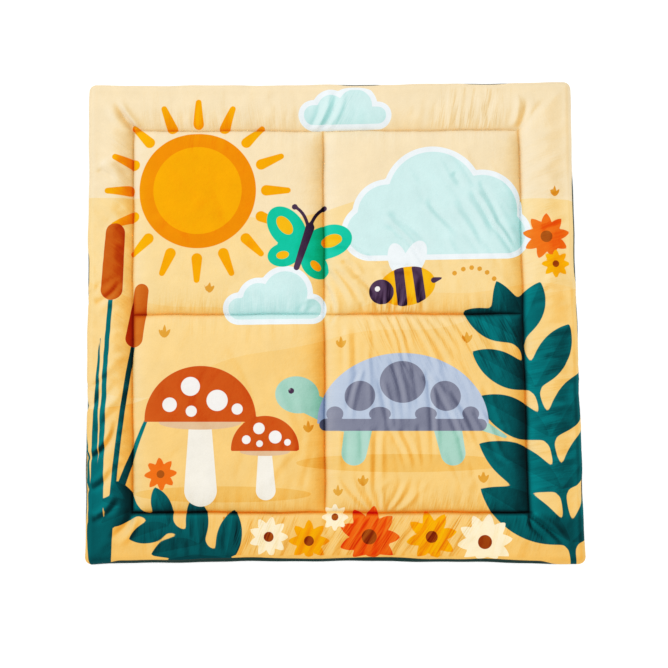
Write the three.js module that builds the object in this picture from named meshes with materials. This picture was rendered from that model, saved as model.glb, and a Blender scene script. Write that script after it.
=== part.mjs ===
// A padded, quilted baby play mat lying flat on a floor, in millimetres, +Z up.
// The maker cuts two square cloths: a printed top one, filled with wadding, and a plain back one.
// They are sewn together round the rim, and stitched through along a frame and a cross, so that the
// filled top stands up in four square panels inside a rolled border.
// The origin is on the floor, at the middle of the mat's outline. +X is right and +Y is the back edge.
import * as THREE from "three";

// Lines of the plan that run from the front edge to the back edge: x at the front, and at the back.
const ACROSS = [
  { name: "left edge", front: -495, back: -504, bow: 1 },
  { name: "left seam", front: -399, back: -411, bow: -2 },
  { name: "middle seam", front: -17, back: -24, bow: 1 },
  { name: "right seam", front: 391, back: 381, bow: -2 },
  { name: "right edge", front: 504, back: 490, bow: -1 },
];
// Lines of the plan that run from left to right: y at the left, and at the right.
const ALONG = [
  { name: "front edge", left: -492, right: -492, bow: 5 },
  { name: "front seam", left: -388, right: -388, bow: -1 },
  { name: "middle seam", left: 8, right: 11, bow: 1 },
  { name: "back seam", left: 389, right: 391, bow: -2 },
  { name: "back edge", left: 485, right: 492, bow: -2 },
];
const LAST = ACROSS.length - 1;
const HALF_SPAN = 490;

// Heights over the floor.
const PANEL_CROWN = 27;
const BORDER_CROWN = 25;
const RIM_CROWN = 21.5; // of the border, where its roll starts
const SEAM_TOP = 7.5;
const WIDEST_AT = 8; // height at which the rolled rim reaches furthest out
const BACK_LIFT = 2; // how far the stitches draw the back cloth off the floor

const RIM_RADIUS = 15; // plan width of the rim's roll, which is also the corner radius
const BACK_CLOTH = 2; // thickness of the back cloth
const GAP = 0.3; // between the filled top and the back cloth
const RIM_GAP = 0.8; // between them along the rim seam
const SEAM_SHOULDER = 55; // how far from a seam the filling has its full height
const RIM_SHOULDER = 45;
const CHANNEL_HALF = 16; // half the width of the channel in the underside

// Height of the rim seam, as an angle up round the roll: the back cloth shows below it.
const RIM_SEAM_LOW = -8;
const RIM_SEAM_RISES = [
  { side: "front", from: -470, to: 470, rise: 58 },
  { side: "back", from: -20, to: 400, rise: 28 },
  { side: "right", from: -40, to: 460, rise: 26 },
  { side: "left", from: -460, to: 60, rise: 22 },
];
const RISE_FADE = 160; // over which the rim seam climbs

// Gathers beside a seam: ridges that leave it at a slope, as the stitches pull the cloth together.
// seam is its place in ALONG and towards is the side of it, +1 for the back. from and to are x
// along the seam, and reach is how far the ridges run from it.
const GATHERS = [
  { seam: 1, towards: -1, from: -190, to: 330, pitch: 38, slope: 0.55, reach: 200, height: 2.0 },
  { seam: 3, towards: 1, from: -60, to: 460, pitch: 44, slope: 0.3, reach: 200, height: 1.4 },
  { seam: 2, towards: -1, from: 10, to: 330, pitch: 42, slope: -0.3, reach: 120, height: 1.8 },
  { seam: 2, towards: 1, from: 20, to: 300, pitch: 42, slope: -0.4, reach: 60, height: 1.6 },
  { seam: 1, towards: 1, from: 20, to: 300, pitch: 40, slope: 0.1, reach: 50, height: 1.2 },
];
const GATHER_FADE = 70; // at both ends of a row of gathers
const GATHER_START = 12; // from the seam to a gather's full height
const GATHER_WAVER = [
  { share: 0.3, length: 360 },
  { share: 0.2, length: 145 },
];

// Creases placed by hand: soft troughs from one plan point to another.
const CREASES = [
  { where: "back left corner", from: [-411, 389], to: [-458, 448], bend: 9, width: 13, depth: 7 },
  { where: "back right corner", from: [381, 391], to: [398, 452], bend: -4, width: 12, depth: 5 },
  { where: "front right corner", from: [391, -388], to: [472, -442], bend: 14, width: 14, depth: 6 },
  { where: "front left corner", from: [-399, -388], to: [-440, -432], bend: 6, width: 14, depth: 4 },
  { where: "border, back middle", from: [-24, 389], to: [-10, 446], bend: -3, width: 12, depth: 3 },
  { where: "back right panel", from: [12, 92], to: [150, 40], bend: -26, width: 17, depth: 2 },
  { where: "back right panel", from: [0, 150], to: [176, 66], bend: -32, width: 20, depth: 2 },
  { where: "back right panel", from: [130, 190], to: [196, 120], bend: -8, width: 18, depth: 2.4 },
  { where: "back right panel", from: [240, 230], to: [340, 90], bend: -12, width: 20, depth: 2.6 },
  { where: "back left panel", from: [-170, 150], to: [-50, 60], bend: 14, width: 22, depth: 1.8 },
  { where: "front right panel", from: [112, -10], to: [150, -130], bend: 8, width: 14, depth: 3 },
  { where: "front right panel", from: [70, -60], to: [60, -250], bend: -10, width: 18, depth: 2 },
  { where: "front right panel", from: [190, -120], to: [230, -300], bend: 12, width: 20, depth: 2 },
  { where: "front left panel", from: [-210, -60], to: [-150, -210], bend: 12, width: 24, depth: 1.6 },
  { where: "right border", from: [430, 60], to: [486, 44], bend: 5, width: 13, depth: 2.4 },
  { where: "right border", from: [430, -80], to: [488, -96], bend: 5, width: 13, depth: 2.4 },
  { where: "left border", from: [-470, -180], to: [-420, -120], bend: 4, width: 14, depth: 2.4 },
  { where: "left border", from: [-468, 180], to: [-424, 240], bend: 4, width: 14, depth: 1.8 },
];

const CREASE_LEAD = 0.12; // share of its length over which a crease starts

// Lines of the fine and the coarse mesh: at each of the near distances from a seam, and at even
// steps between.
const RIM_STEPS = 4;
const FINE_X = { near: [5], step: 11.5 };
const FINE_Y = { near: [5, 14], step: 26 };
const COARSE = { near: [CHANNEL_HALF], step: 110 };

const FULL_TURN = 2 * Math.PI;
const QUARTER = Math.PI / 2;
const clamp = (value, low, high) => Math.min(high, Math.max(low, value));
const mix = (a, b, t) => a + (b - a) * t;
const radians = (degrees) => (degrees * QUARTER) / 90;
const smooth = (t) => clamp(t, 0, 1) ** 2 * (3 - 2 * clamp(t, 0, 1));
// 1 inside a stretch, falling smoothly to 0 at its two ends.
const withinStretch = (value, from, to, fade) =>
  smooth((value - from) / fade) * smooth((to - value) / fade);

// x of a line that runs front to back, at height y of the plan, bowed at its middle.
function xOfLine(line, y) {
  const t = (y + HALF_SPAN) / (2 * HALF_SPAN);
  return mix(line.front, line.back, t) + line.bow * 4 * t * (1 - t);
}

// y of a line that runs left to right, at x of the plan, bowed at its middle.
function yOfLine(line, x) {
  const t = (x + HALF_SPAN) / (2 * HALF_SPAN);
  return mix(line.left, line.right, t) + line.bow * 4 * t * (1 - t);
}

// How far a line of the meshes is moved in from its plan line: the outer two, by the rim's roll.
const insetOf = (n) => (n === 0 ? RIM_RADIUS : n === LAST ? -RIM_RADIUS : 0);

// Place of a span number, where a whole number is a line and a fraction lies between two.
function between(lines, along, at, k) {
  const n = Math.min(Math.floor(k), LAST - 1);
  const [low, high] = [n, n + 1].map((m) => at(lines[m], along) + insetOf(m));
  return mix(low, high, k - n);
}

// Plan point of span numbers u and v. Each line leans, so x and y settle in a few turns.
function planPoint(u, v) {
  let [x, y] = [0, 0];
  for (let turn = 0; turn < 4; turn++) {
    y = between(ALONG, x, yOfLine, v);
    x = between(ACROSS, y, xOfLine, u);
  }
  return [x, y];
}

// Share of the full height at a distance from a seam: a quarter circle that starts steeply.
const shoulder = (distance, width) =>
  Math.sqrt(1 - (1 - clamp(distance / width, 0, 1)) ** 2);

// Distance outside the stitched frame, 0 within it.
function outsideFrame(x, y) {
  const dx = Math.max(xOfLine(ACROSS[1], y) - x, x - xOfLine(ACROSS[3], y), 0);
  const dy = Math.max(yOfLine(ALONG[1], x) - y, y - yOfLine(ALONG[3], x), 0);
  return Math.hypot(dx, dy);
}

// Distance to the nearest of the inner three lines of a family.
const toSeams = (value, lines, at, other) =>
  Math.min(...[1, 2, 3].map((n) => Math.abs(value - at(lines[n], other))));

// Distance inside the plan's outline.
function insideRim(x, y) {
  return Math.min(
    x - xOfLine(ACROSS[0], y),
    xOfLine(ACROSS[4], y) - x,
    y - yOfLine(ALONG[0], x),
    yOfLine(ALONG[4], x) - y,
  );
}

// Sum of the gathers at a point, each a cosine wave across its slope that fades from its seam.
function gathers(x, y) {
  return GATHERS.reduce((sum, g) => {
    const above = y - yOfLine(ALONG[g.seam], x);
    const away = above * g.towards;
    const next = yOfLine(ALONG[g.seam + g.towards], x);
    if (away < 0 || (y - next) * g.towards > 0) return sum;
    const foot = x - above * g.slope;
    const waver = GATHER_WAVER.reduce((s, w) => s + w.share * Math.sin((FULL_TURN * foot) / w.length), 0);
    const wave = Math.cos(FULL_TURN * (foot / g.pitch + waver));
    const fades = Math.exp(-((away / g.reach) ** 2)) * withinStretch(foot, g.from, g.to, GATHER_FADE);
    return sum + g.height * wave * smooth(away / GATHER_START) * fades;
  }, 0);
}

// Depth of the corner creases at a point: a trough along a line with a bend, dying out at its far end.
function creases(x, y) {
  return CREASES.reduce((sum, c) => {
    const [dx, dy] = [c.to[0] - c.from[0], c.to[1] - c.from[1]];
    const length = Math.hypot(dx, dy);
    const t = ((x - c.from[0]) * dx + (y - c.from[1]) * dy) / length ** 2;
    const off = ((y - c.from[1]) * dx - (x - c.from[0]) * dy) / length;
    const side = off - c.bend * 4 * t * (1 - t);
    const share = smooth(1 - t) * smooth(1 + t / CREASE_LEAD);
    return sum + c.depth * share * Math.exp(-2 * (side / c.width) ** 2);
  }, 0);
}

// Height of the printed top's surface over the floor.
function topHeight(x, y) {
  const outside = outsideFrame(x, y);
  const reach = shoulder(outside, SEAM_SHOULDER);
  if (outside > 0) {
    const crown = mix(RIM_CROWN, BORDER_CROWN, shoulder(insideRim(x, y) - RIM_RADIUS, RIM_SHOULDER));
    return mix(SEAM_TOP, crown, reach) + (gathers(x, y) - creases(x, y)) * reach;
  }
  const acrossShare = shoulder(toSeams(x, ACROSS, xOfLine, y), SEAM_SHOULDER);
  const alongShare = shoulder(toSeams(y, ALONG, yOfLine, x), SEAM_SHOULDER);
  const share = acrossShare * alongShare;
  return mix(SEAM_TOP, PANEL_CROWN, share) + (gathers(x, y) - creases(x, y)) * share;
}

// Lift of the back cloth off the floor: a shallow channel under each seam.
function backLift(x, y) {
  const nearFrame = outsideFrame(x, y);
  const inner = Math.min(toSeams(x, ACROSS, xOfLine, y), toSeams(y, ALONG, yOfLine, x));
  return BACK_LIFT * (1 - smooth((nearFrame > 0 ? nearFrame : inner) / CHANNEL_HALF));
}

// Span numbers of a mesh's lines: each seam, its near lines, and even steps between them.
function spanNumbers(lines, at, { near, step }) {
  const places = lines.map((line, n) => at(line, 0) + insetOf(n));
  const numbers = [];
  for (let n = 0; n < LAST; n++) {
    const length = places[n + 1] - places[n];
    const first = n > 0 ? [0, ...near] : [0];
    const last = (n < LAST - 1 ? near : []).map((d) => length - d).reverse();
    const from = first.at(-1);
    const to = last.length ? last[0] : length;
    const count = Math.max(1, Math.round((to - from) / step));
    const even = Array.from({ length: count - 1 }, (_, k) => mix(from, to, (k + 1) / count));
    numbers.push(...[...first, ...even, ...last].map((d) => n + d / length));
  }
  return [...numbers, LAST];
}

const fineUs = spanNumbers(ACROSS, xOfLine, FINE_X);
const fineVs = spanNumbers(ALONG, yOfLine, FINE_Y);
const coarseUs = spanNumbers(ACROSS, xOfLine, COARSE);
const coarseVs = spanNumbers(ALONG, yOfLine, COARSE);

// Angle of the rim seam round the roll, in radians, at span numbers of the plan's rim.
function seamAngleAt(u, v) {
  const [x, y] = planPoint(u, v);
  const isOn = { front: v === 0, back: v === LAST, left: u === 0, right: u === LAST };
  const degrees = RIM_SEAM_RISES.filter((r) => isOn[r.side]).reduce((sum, r) => {
    const along = r.side === "front" || r.side === "back" ? x : y;
    return sum + r.rise * withinStretch(along, r.from, r.to, RISE_FADE);
  }, RIM_SEAM_LOW);
  return radians(degrees);
}

// The same angle run straight between the coarse mesh's lines, so that the two cloths' rims match.
function rimSeamAngle(u, v) {
  const alongX = v === 0 || v === LAST;
  const [lines, k] = alongX ? [coarseUs, u] : [coarseVs, v];
  const n = Math.min(lines.findLastIndex((line) => line <= k), lines.length - 2);
  const [low, high] = [lines[n], lines[n + 1]].map((m) => (alongX ? seamAngleAt(m, v) : seamAngleAt(u, m)));
  return mix(low, high, (k - lines[n]) / (lines[n + 1] - lines[n]));
}

// A grid of points with RIM_STEPS rings added round it, which fan out round its corners.
// place gives a point from its span numbers and plan place, the way out of the grid, and its ring,
// which is 0 within the grid and 1 at its last ring.
function gridOf(us, vs, place) {
  const columns = us.length + 2 * RIM_STEPS;
  const rows = vs.length + 2 * RIM_STEPS;
  const points = [];
  for (let j = 0; j < rows; j++) {
    for (let i = 0; i < columns; i++) {
      const a = clamp(i - RIM_STEPS, 0, us.length - 1);
      const b = clamp(j - RIM_STEPS, 0, vs.length - 1);
      const [outX, outY] = [i - RIM_STEPS - a, j - RIM_STEPS - b];
      const ring = Math.max(Math.abs(outX), Math.abs(outY));
      const size = Math.hypot(outX, outY) || 1;
      const [x, y] = planPoint(us[a], vs[b]);
      const out = [outX / size, outY / size];
      points.push(place({ u: us[a], v: vs[b], x, y, out, ring: ring / RIM_STEPS }));
    }
  }
  const triangles = [];
  for (let j = 0; j < rows - 1; j++) {
    for (let i = 0; i < columns - 1; i++) {
      const [a, b] = [j * columns + i, j * columns + i + 1];
      const [c, d] = [b + columns, a + columns];
      const outward = (i < columns / 2) === (j < rows / 2); // the diagonal a to c runs to a corner
      triangles.push(...(outward ? [a, b, c, a, c, d] : [a, b, d, b, c, d]));
    }
  }
  const loop = [];
  for (let i = 0; i < columns - 1; i++) loop.push(i);
  for (let j = 0; j < rows - 1; j++) loop.push(j * columns + columns - 1);
  for (let i = columns - 1; i > 0; i--) loop.push((rows - 1) * columns + i);
  for (let j = rows - 1; j > 0; j--) loop.push(j * columns);
  return { points, triangles, loop };
}

// Point of the rolled rim: angle 90 degrees is its crown, 0 its widest place and -90 its foot.
function rollPoint({ x, y, out }, angle, radius, crown, foot) {
  const rise = angle > 0 ? crown - WIDEST_AT : WIDEST_AT - foot;
  const reach = radius * Math.cos(angle);
  return [x + out[0] * reach, y + out[1] * reach, WIDEST_AT + rise * Math.sin(angle)];
}

// The printed cloth's outer face, from the rim seam over the roll and across the panels.
function topPlace(at) {
  const angle = at.ring ? mix(QUARTER, rimSeamAngle(at.u, at.v), at.ring) : QUARTER;
  const crown = mix(topHeight(at.x, at.y), RIM_CROWN, at.ring);
  return rollPoint(at, angle, RIM_RADIUS, crown, 0);
}

// A face that lies inset within the back cloth's outer face, ending below the rim seam by gap.
function underPlace(inset, gap) {
  return (at) => {
    if (at.ring === 0) return [at.x, at.y, backLift(at.x, at.y) + inset];
    const angle = mix(-QUARTER, rimSeamAngle(at.u, at.v) - gap / RIM_RADIUS, at.ring);
    return rollPoint(at, angle, RIM_RADIUS - inset, RIM_CROWN - inset, inset);
  };
}

// Triangles between two closed loops of different counts, going round the origin side by side.
function zip(points, outer, inner) {
  const turn = (n) => Math.atan2(points[n][1], points[n][0]);
  const fromStart = (loop) => {
    const first = loop.reduce((best, n, k) => (turn(n) < turn(loop[best]) ? k : best), 0);
    return [...loop.slice(first), ...loop.slice(0, first)];
  };
  const [a, b] = [fromStart(outer), fromStart(inner)];
  const at = (loop, k) => turn(loop[k % loop.length]) + (k >= loop.length ? FULL_TURN : 0);
  const triangles = [];
  for (let i = 0, j = 0; i < a.length || j < b.length; ) {
    const [p, q] = [a[i % a.length], b[j % b.length]];
    if (j >= b.length || (i < a.length && at(a, i + 1) <= at(b, j + 1))) {
      triangles.push(p, q, a[++i % a.length]);
    } else {
      triangles.push(p, q, b[++j % b.length]);
    }
  }
  return triangles;
}

// One closed mesh of an upper face and an under face, joined round their rims.
function closedMesh(name, upper, under, colour) {
  const shift = upper.points.length;
  const points = [...upper.points, ...under.points];
  const turned = [];
  for (let n = 0; n < under.triangles.length; n += 3) {
    const [a, b, c] = under.triangles.slice(n, n + 3);
    turned.push(a + shift, c + shift, b + shift);
  }
  const side = zip(points, upper.loop, under.loop.map((n) => n + shift));
  const geometry = new THREE.BufferGeometry();
  geometry.setAttribute("position", new THREE.Float32BufferAttribute(points.flat(), 3));
  geometry.setIndex([...upper.triangles, ...turned, ...side]);
  geometry.computeVertexNormals();
  const material = new THREE.MeshStandardMaterial({ color: colour, roughness: 0.85, metalness: 0 });
  const mesh = new THREE.Mesh(geometry, material);
  mesh.name = name;
  return mesh;
}

// The printed top with its wadding: one filled solid.
function printedTop() {
  const upper = gridOf(fineUs, fineVs, topPlace);
  const under = gridOf(coarseUs, coarseVs, underPlace(BACK_CLOTH + GAP, 0));
  return closedMesh("printed_top", upper, under, 0xf6ca84);
}

// The plain back cloth, which lies on the floor and turns up round the rim to the seam.
function plainBack() {
  const upper = gridOf(coarseUs, coarseVs, underPlace(BACK_CLOTH, RIM_GAP));
  const under = gridOf(coarseUs, coarseVs, underPlace(0, RIM_GAP));
  return closedMesh("plain_back", upper, under, 0x12443f);
}

const mat = new THREE.Group();
mat.name = "play_mat";
mat.add(printedTop(), plainBack());

export default mat;
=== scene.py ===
from types import SimpleNamespace

import bpy
import numpy as np
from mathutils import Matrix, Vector


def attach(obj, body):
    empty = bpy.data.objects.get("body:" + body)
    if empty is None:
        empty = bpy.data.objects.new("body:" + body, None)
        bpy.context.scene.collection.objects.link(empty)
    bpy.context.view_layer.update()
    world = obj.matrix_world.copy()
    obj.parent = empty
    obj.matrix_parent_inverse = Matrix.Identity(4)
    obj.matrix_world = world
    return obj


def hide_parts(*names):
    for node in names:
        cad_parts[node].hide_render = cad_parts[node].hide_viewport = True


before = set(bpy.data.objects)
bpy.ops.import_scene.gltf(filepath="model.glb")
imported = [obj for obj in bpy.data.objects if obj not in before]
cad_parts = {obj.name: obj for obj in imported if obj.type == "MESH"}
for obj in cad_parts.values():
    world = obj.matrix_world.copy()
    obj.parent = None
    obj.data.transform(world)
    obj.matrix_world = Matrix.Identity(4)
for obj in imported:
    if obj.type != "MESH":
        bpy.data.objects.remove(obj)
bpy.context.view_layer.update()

# The seams. The mat is stitched through along a frame and a cross, which leave four square panels in
# a rolled border. Each line of the plan leans and bows a little, as cloth does when it is sewn.
# All sizes are in millimetres until a mesh is made, +X is right and +Y the back edge.
LINE = [("start", float), ("end", float), ("bow", float)]
ACROSS = np.array(  # x at the front and at the back: left edge, left seam, middle, right seam, right edge
    [(-495, -504, 1), (-399, -411, -2), (-16, -22, 1), (394, 382, -2), (504, 490, -1)], LINE
)
ALONG = np.array(  # y at the left and at the right: front edge, front seam, middle, back seam, back edge
    [(-492, -492, 6.5), (-388, -388, -1), (8, 11, 1), (390, 393, -2), (485, 492, -2)], LINE
)
LAST = len(ACROSS) - 1
HALF_SPAN = 490.0
WAVER = 0.7  # how far a line wanders
WAVER_WAVES = ((1.0, 37, 2.1), (0.5, 15, 5.3))  # share, length of a radian, start for each line number
RIM_RADIUS = 15.0  # of the rolled rim, in plan, and of the corners
METRES = 0.001


def waves_along(along, n, waves):
    """Sum of sine waves along line n, each with its share, its length and its start."""
    return sum(share * np.sin(along / length + start * n) for share, length, start in waves)


def at_line(lines, n, along):
    """Place of a plan line: straight over the span, plus a parabola for its bow and two sine waves."""
    t = (along + HALF_SPAN) / (2 * HALF_SPAN)
    row = lines[n]
    waver = WAVER * waves_along(along, n, WAVER_WAVES)
    return row["start"] + (row["end"] - row["start"]) * t + row["bow"] * 4 * t * (1 - t) + waver


def eased(t):
    """3t^2 - 2t^3, held at 0 and 1 outside that range."""
    t = np.clip(t, 0, 1)
    return t * t * (3 - 2 * t)


def within(value, low, high, fade):
    """1 between low and high, eased down to 0 at both ends over fade."""
    return eased((value - low) / fade) * eased((high - value) / fade)


def line_numbers(lines, step, near):
    """Numbers of a grid's lines, whole at a plan line: near the seams, and at even steps between."""
    inset = np.array([RIM_RADIUS] + [0.0] * (LAST - 1) + [-RIM_RADIUS])
    places = np.array([at_line(lines, n, 0.0) for n in range(LAST + 1)]) + inset
    numbers = []
    for n, length in enumerate(np.diff(places)):
        first = [0.0, *near] if n > 0 else [0.0]
        last = [length - d for d in reversed(near)] if n < LAST - 1 else []
        high = last[0] if last else length
        count = max(1, round((high - first[-1]) / step))
        even = np.linspace(first[-1], high, count + 1)[1:-1]
        numbers += [n + d / length for d in (*first, *even, *last)]
    return np.array([*numbers, LAST])


def between(lines, numbers, along):
    """Place of fractional line numbers, straight between the two plan lines, edges moved in by the rim."""
    low = np.minimum(numbers.astype(int), LAST - 1)
    places = np.stack([at_line(lines, n, along) for n in range(LAST + 1)])
    places[0] += RIM_RADIUS
    places[LAST] -= RIM_RADIUS
    start = np.take_along_axis(places, low[None], 0)[0]
    end = np.take_along_axis(places, low[None] + 1, 0)[0]
    return start + (end - start) * (numbers - low)


def lay_out(step, near, rings):
    """A grid over the plan with rings of points round it, which fan out at the corners.

    A ring's points start from the nearest point of the grid. out is their way out of it, and ring is 0
    within the grid and 1 at the last ring. columns and rows number the grid's lines, rings included.
    """
    us, vs = line_numbers(ACROSS, step, near), line_numbers(ALONG, step, near)
    i, j = np.arange(-rings, len(us) + rings), np.arange(-rings, len(vs) + rings)
    a, b = i.clip(0, len(us) - 1), j.clip(0, len(vs) - 1)
    u, v = np.meshgrid(us[a], vs[b])
    out_x, out_y = np.meshgrid(i - a, j - b)
    x, y = np.zeros(u.shape), np.zeros(u.shape)
    for _ in range(4):
        y = between(ALONG, v, x)
        x = between(ACROSS, u, y)
    return SimpleNamespace(
        u=u, v=v, x=x, y=y,
        out=np.stack([out_x, out_y], -1) / np.maximum(np.hypot(out_x, out_y), 1)[..., None],
        ring=np.maximum(abs(out_x), abs(out_y)) / rings,
        columns=us[a] + (i - a) / rings,
        rows=vs[b] + (j - b) / rings,
    )


# The printed top. A square of soft brushed cloth over wadding: stitches hold it down along the seams,
# the wadding pushes it up between them, and at the edge it rolls over to meet the back cloth.
TOP_STEP = 3.7  # between the mesh's lines
TOP_NEAR_SEAM = (1.6, 3.4)  # distances from a seam at which lines run beside it
TOP_RINGS = 8  # rings of points round the rim's roll
PANEL_CROWN, BORDER_CROWN, RIM_CROWN = 27.0, 25.0, 21.5  # full heights of the cloth
SEAM_TOP = 7.0  # height of the cloth in a seam
WIDEST_AT = 8.0  # height at which the roll is widest
WALL_SHARE, WALL = 0.26, 0.9  # share of the height that rises at once beside a groove, and how fast
LOFT = 17.0  # distance from a seam over which the wadding lifts the rest
SEAM = [("family", "U6"), ("line", int), ("open", float), ("deep", float)]
SEAMS = np.array(  # half width of the groove's flat bottom, and how much painted shade deepens the colour in it
    [
        ("across", 1, 0.5, 1.3), ("across", 2, 0.5, 1.3), ("across", 3, 0.5, 1.3),
        ("along", 1, 0.9, 2.3), ("along", 2, 0.5, 0.8), ("along", 3, 0.0, 0.4),
    ],
    SEAM,
)
PUCKER = 0.25  # by which a groove's half width swells and shrinks along it
PUCKER_WAVES = ((1.0, 3.7, 1), (1.0, 6.1, 3))
OPENING = [
    ("family", "U6"), ("line", int), ("low", float), ("high", float), ("wider", float), ("deeper", float),
]
OPENED = np.array(  # stretches where a seam gapes: by how much its half width and its painted shade grow
    [
        ("along", 1, -60, 350, 1.2, 0.3), ("along", 1, -400, -100, 0.5, 0.2),
        ("along", 2, 40, 390, 0.8, 0.8), ("across", 3, -380, 0, 0.4, 0.2),
    ],
    OPENING,
)
OPENED_FADE = 60.0
RIM_SHOULDER = 45.0  # over which the border rises from the roll
SEAM_LOW = -8.0  # the rim seam's angle round the roll, in degrees
RISES = [  # stretches where the rim seam rides up and the back cloth shows
    # side, from, to, fade at its ends, degrees
    ("front", -482, 470, 60, 66),
    ("front", -330, -60, 90, 8),
    ("front", 20, 200, 60, 10),
    ("front", 250, 400, 60, 5),
    ("back", -20, 130, 50, 50),
    ("back", 230, 400, 60, 46),
    ("right", -380, -300, 30, 50),
    ("right", -60, 60, 40, 40),
    ("right", 40, 330, 60, 52),
    ("left", -440, -220, 60, 48),
    ("left", 40, 160, 40, 46),
]


def lofted(distance):
    """Share of the full height at a distance from a groove: a steep wall, then a soft rise."""
    wall, soft = 1 - np.exp(-distance / WALL), 1 - np.exp(-distance / LOFT)
    return WALL_SHARE * wall + (1 - WALL_SHARE) * soft


def more_open(family, line, along, what):
    """What the opened stretches add to a seam: what is "wider" or "deeper"."""
    rows = OPENED[(OPENED["family"] == family) & (OPENED["line"] == line)]
    return sum(row[what] * within(along, row["low"], row["high"], OPENED_FADE) for row in rows)


def groove(family, line, along):
    """Half width of the flat groove bottom along a seam, with two sine waves for its puckers."""
    puckers = PUCKER * waves_along(along, line, PUCKER_WAVES)
    seam = SEAMS[(SEAMS["family"] == family) & (SEAMS["line"] == line)][0]
    return seam["open"] + puckers + more_open(family, line, along, "wider")


def seam_distances(x, y):
    """Distance outside the stitched frame, and to the nearest groove of each family of seams."""
    left = at_line(ACROSS, 1, y) - groove("across", 1, y)
    right = at_line(ACROSS, 3, y) + groove("across", 3, y)
    front = at_line(ALONG, 1, x) - groove("along", 1, x)
    back = at_line(ALONG, 3, x) + groove("along", 3, x)
    outside = np.hypot(np.maximum(left - x, x - right).clip(0), np.maximum(front - y, y - back).clip(0))
    to_across = np.min([abs(x - at_line(ACROSS, n, y)) - groove("across", n, y) for n in (1, 2, 3)], 0)
    to_along = np.min([abs(y - at_line(ALONG, n, x)) - groove("along", n, x) for n in (1, 2, 3)], 0)
    return outside, to_across.clip(0), to_along.clip(0)


def seam_distance(x, y):
    """Distance to the nearest groove."""
    outside, to_across, to_along = seam_distances(x, y)
    return np.where(outside > 0, outside, np.minimum(to_across, to_along))


def inside_rim(x, y):
    """Distance inside the plan's outline."""
    return np.min(
        [
            x - at_line(ACROSS, 0, y),
            at_line(ACROSS, LAST, y) - x,
            y - at_line(ALONG, 0, x),
            at_line(ALONG, LAST, x) - y,
        ],
        0,
    )


def filled_height(x, y):
    """Height of the filled top: the seams' height, plus a crown times the loft from each seam."""
    outside, to_across, to_along = seam_distances(x, y)
    rise = eased((inside_rim(x, y) - RIM_RADIUS) / RIM_SHOULDER)
    crown = RIM_CROWN + (BORDER_CROWN - RIM_CROWN) * rise
    border = SEAM_TOP + (crown - SEAM_TOP) * lofted(outside)
    panel = SEAM_TOP + (PANEL_CROWN - SEAM_TOP) * lofted(to_across) * lofted(to_along)
    return np.where(outside > 0, border, panel)


def rim_seam_angle(grid):
    """Angle of the rim seam round the roll, in radians: low, with eased rises along its sides."""
    on = {"front": grid.v == 0, "back": grid.v == LAST, "left": grid.u == 0, "right": grid.u == LAST}
    degrees = np.full(grid.x.shape, SEAM_LOW)
    for side, low, high, fade, rise in RISES:
        along = grid.x if side in ("front", "back") else grid.y
        degrees += rise * within(along, low, high, fade) * on[side]
    return np.radians(degrees)


def rolled(grid, angle, radius, crown, foot):
    """Points round the rim's roll, a half ellipse: its crown at 90 degrees, its foot at -90."""
    out = grid.out * (radius * np.cos(angle))[..., None]
    rise = np.where(angle > 0, crown - WIDEST_AT, WIDEST_AT - foot)
    return np.dstack([grid.x + out[..., 0], grid.y + out[..., 1], WIDEST_AT + rise * np.sin(angle)])


def filled_top(grid):
    """The top's smooth form, without folds: its height over the plan, and the roll on the rings."""
    angle = np.pi / 2 + (rim_seam_angle(grid) - np.pi / 2) * grid.ring
    height = filled_height(grid.x, grid.y)
    return rolled(grid, angle, RIM_RADIUS * (grid.ring > 0), height + (RIM_CROWN - height) * grid.ring, 0)


def stitched_down(grid):
    """True on the frame's and the cross's seam lines, and at the rim seam."""
    u, v = grid.u, grid.v
    across = np.isin(u, (1, 2, 3)) & (v >= 1) & (v <= 3)
    along = np.isin(v, (1, 2, 3)) & (u >= 1) & (u <= 3)
    return across | along | (grid.ring == 1)


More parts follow.
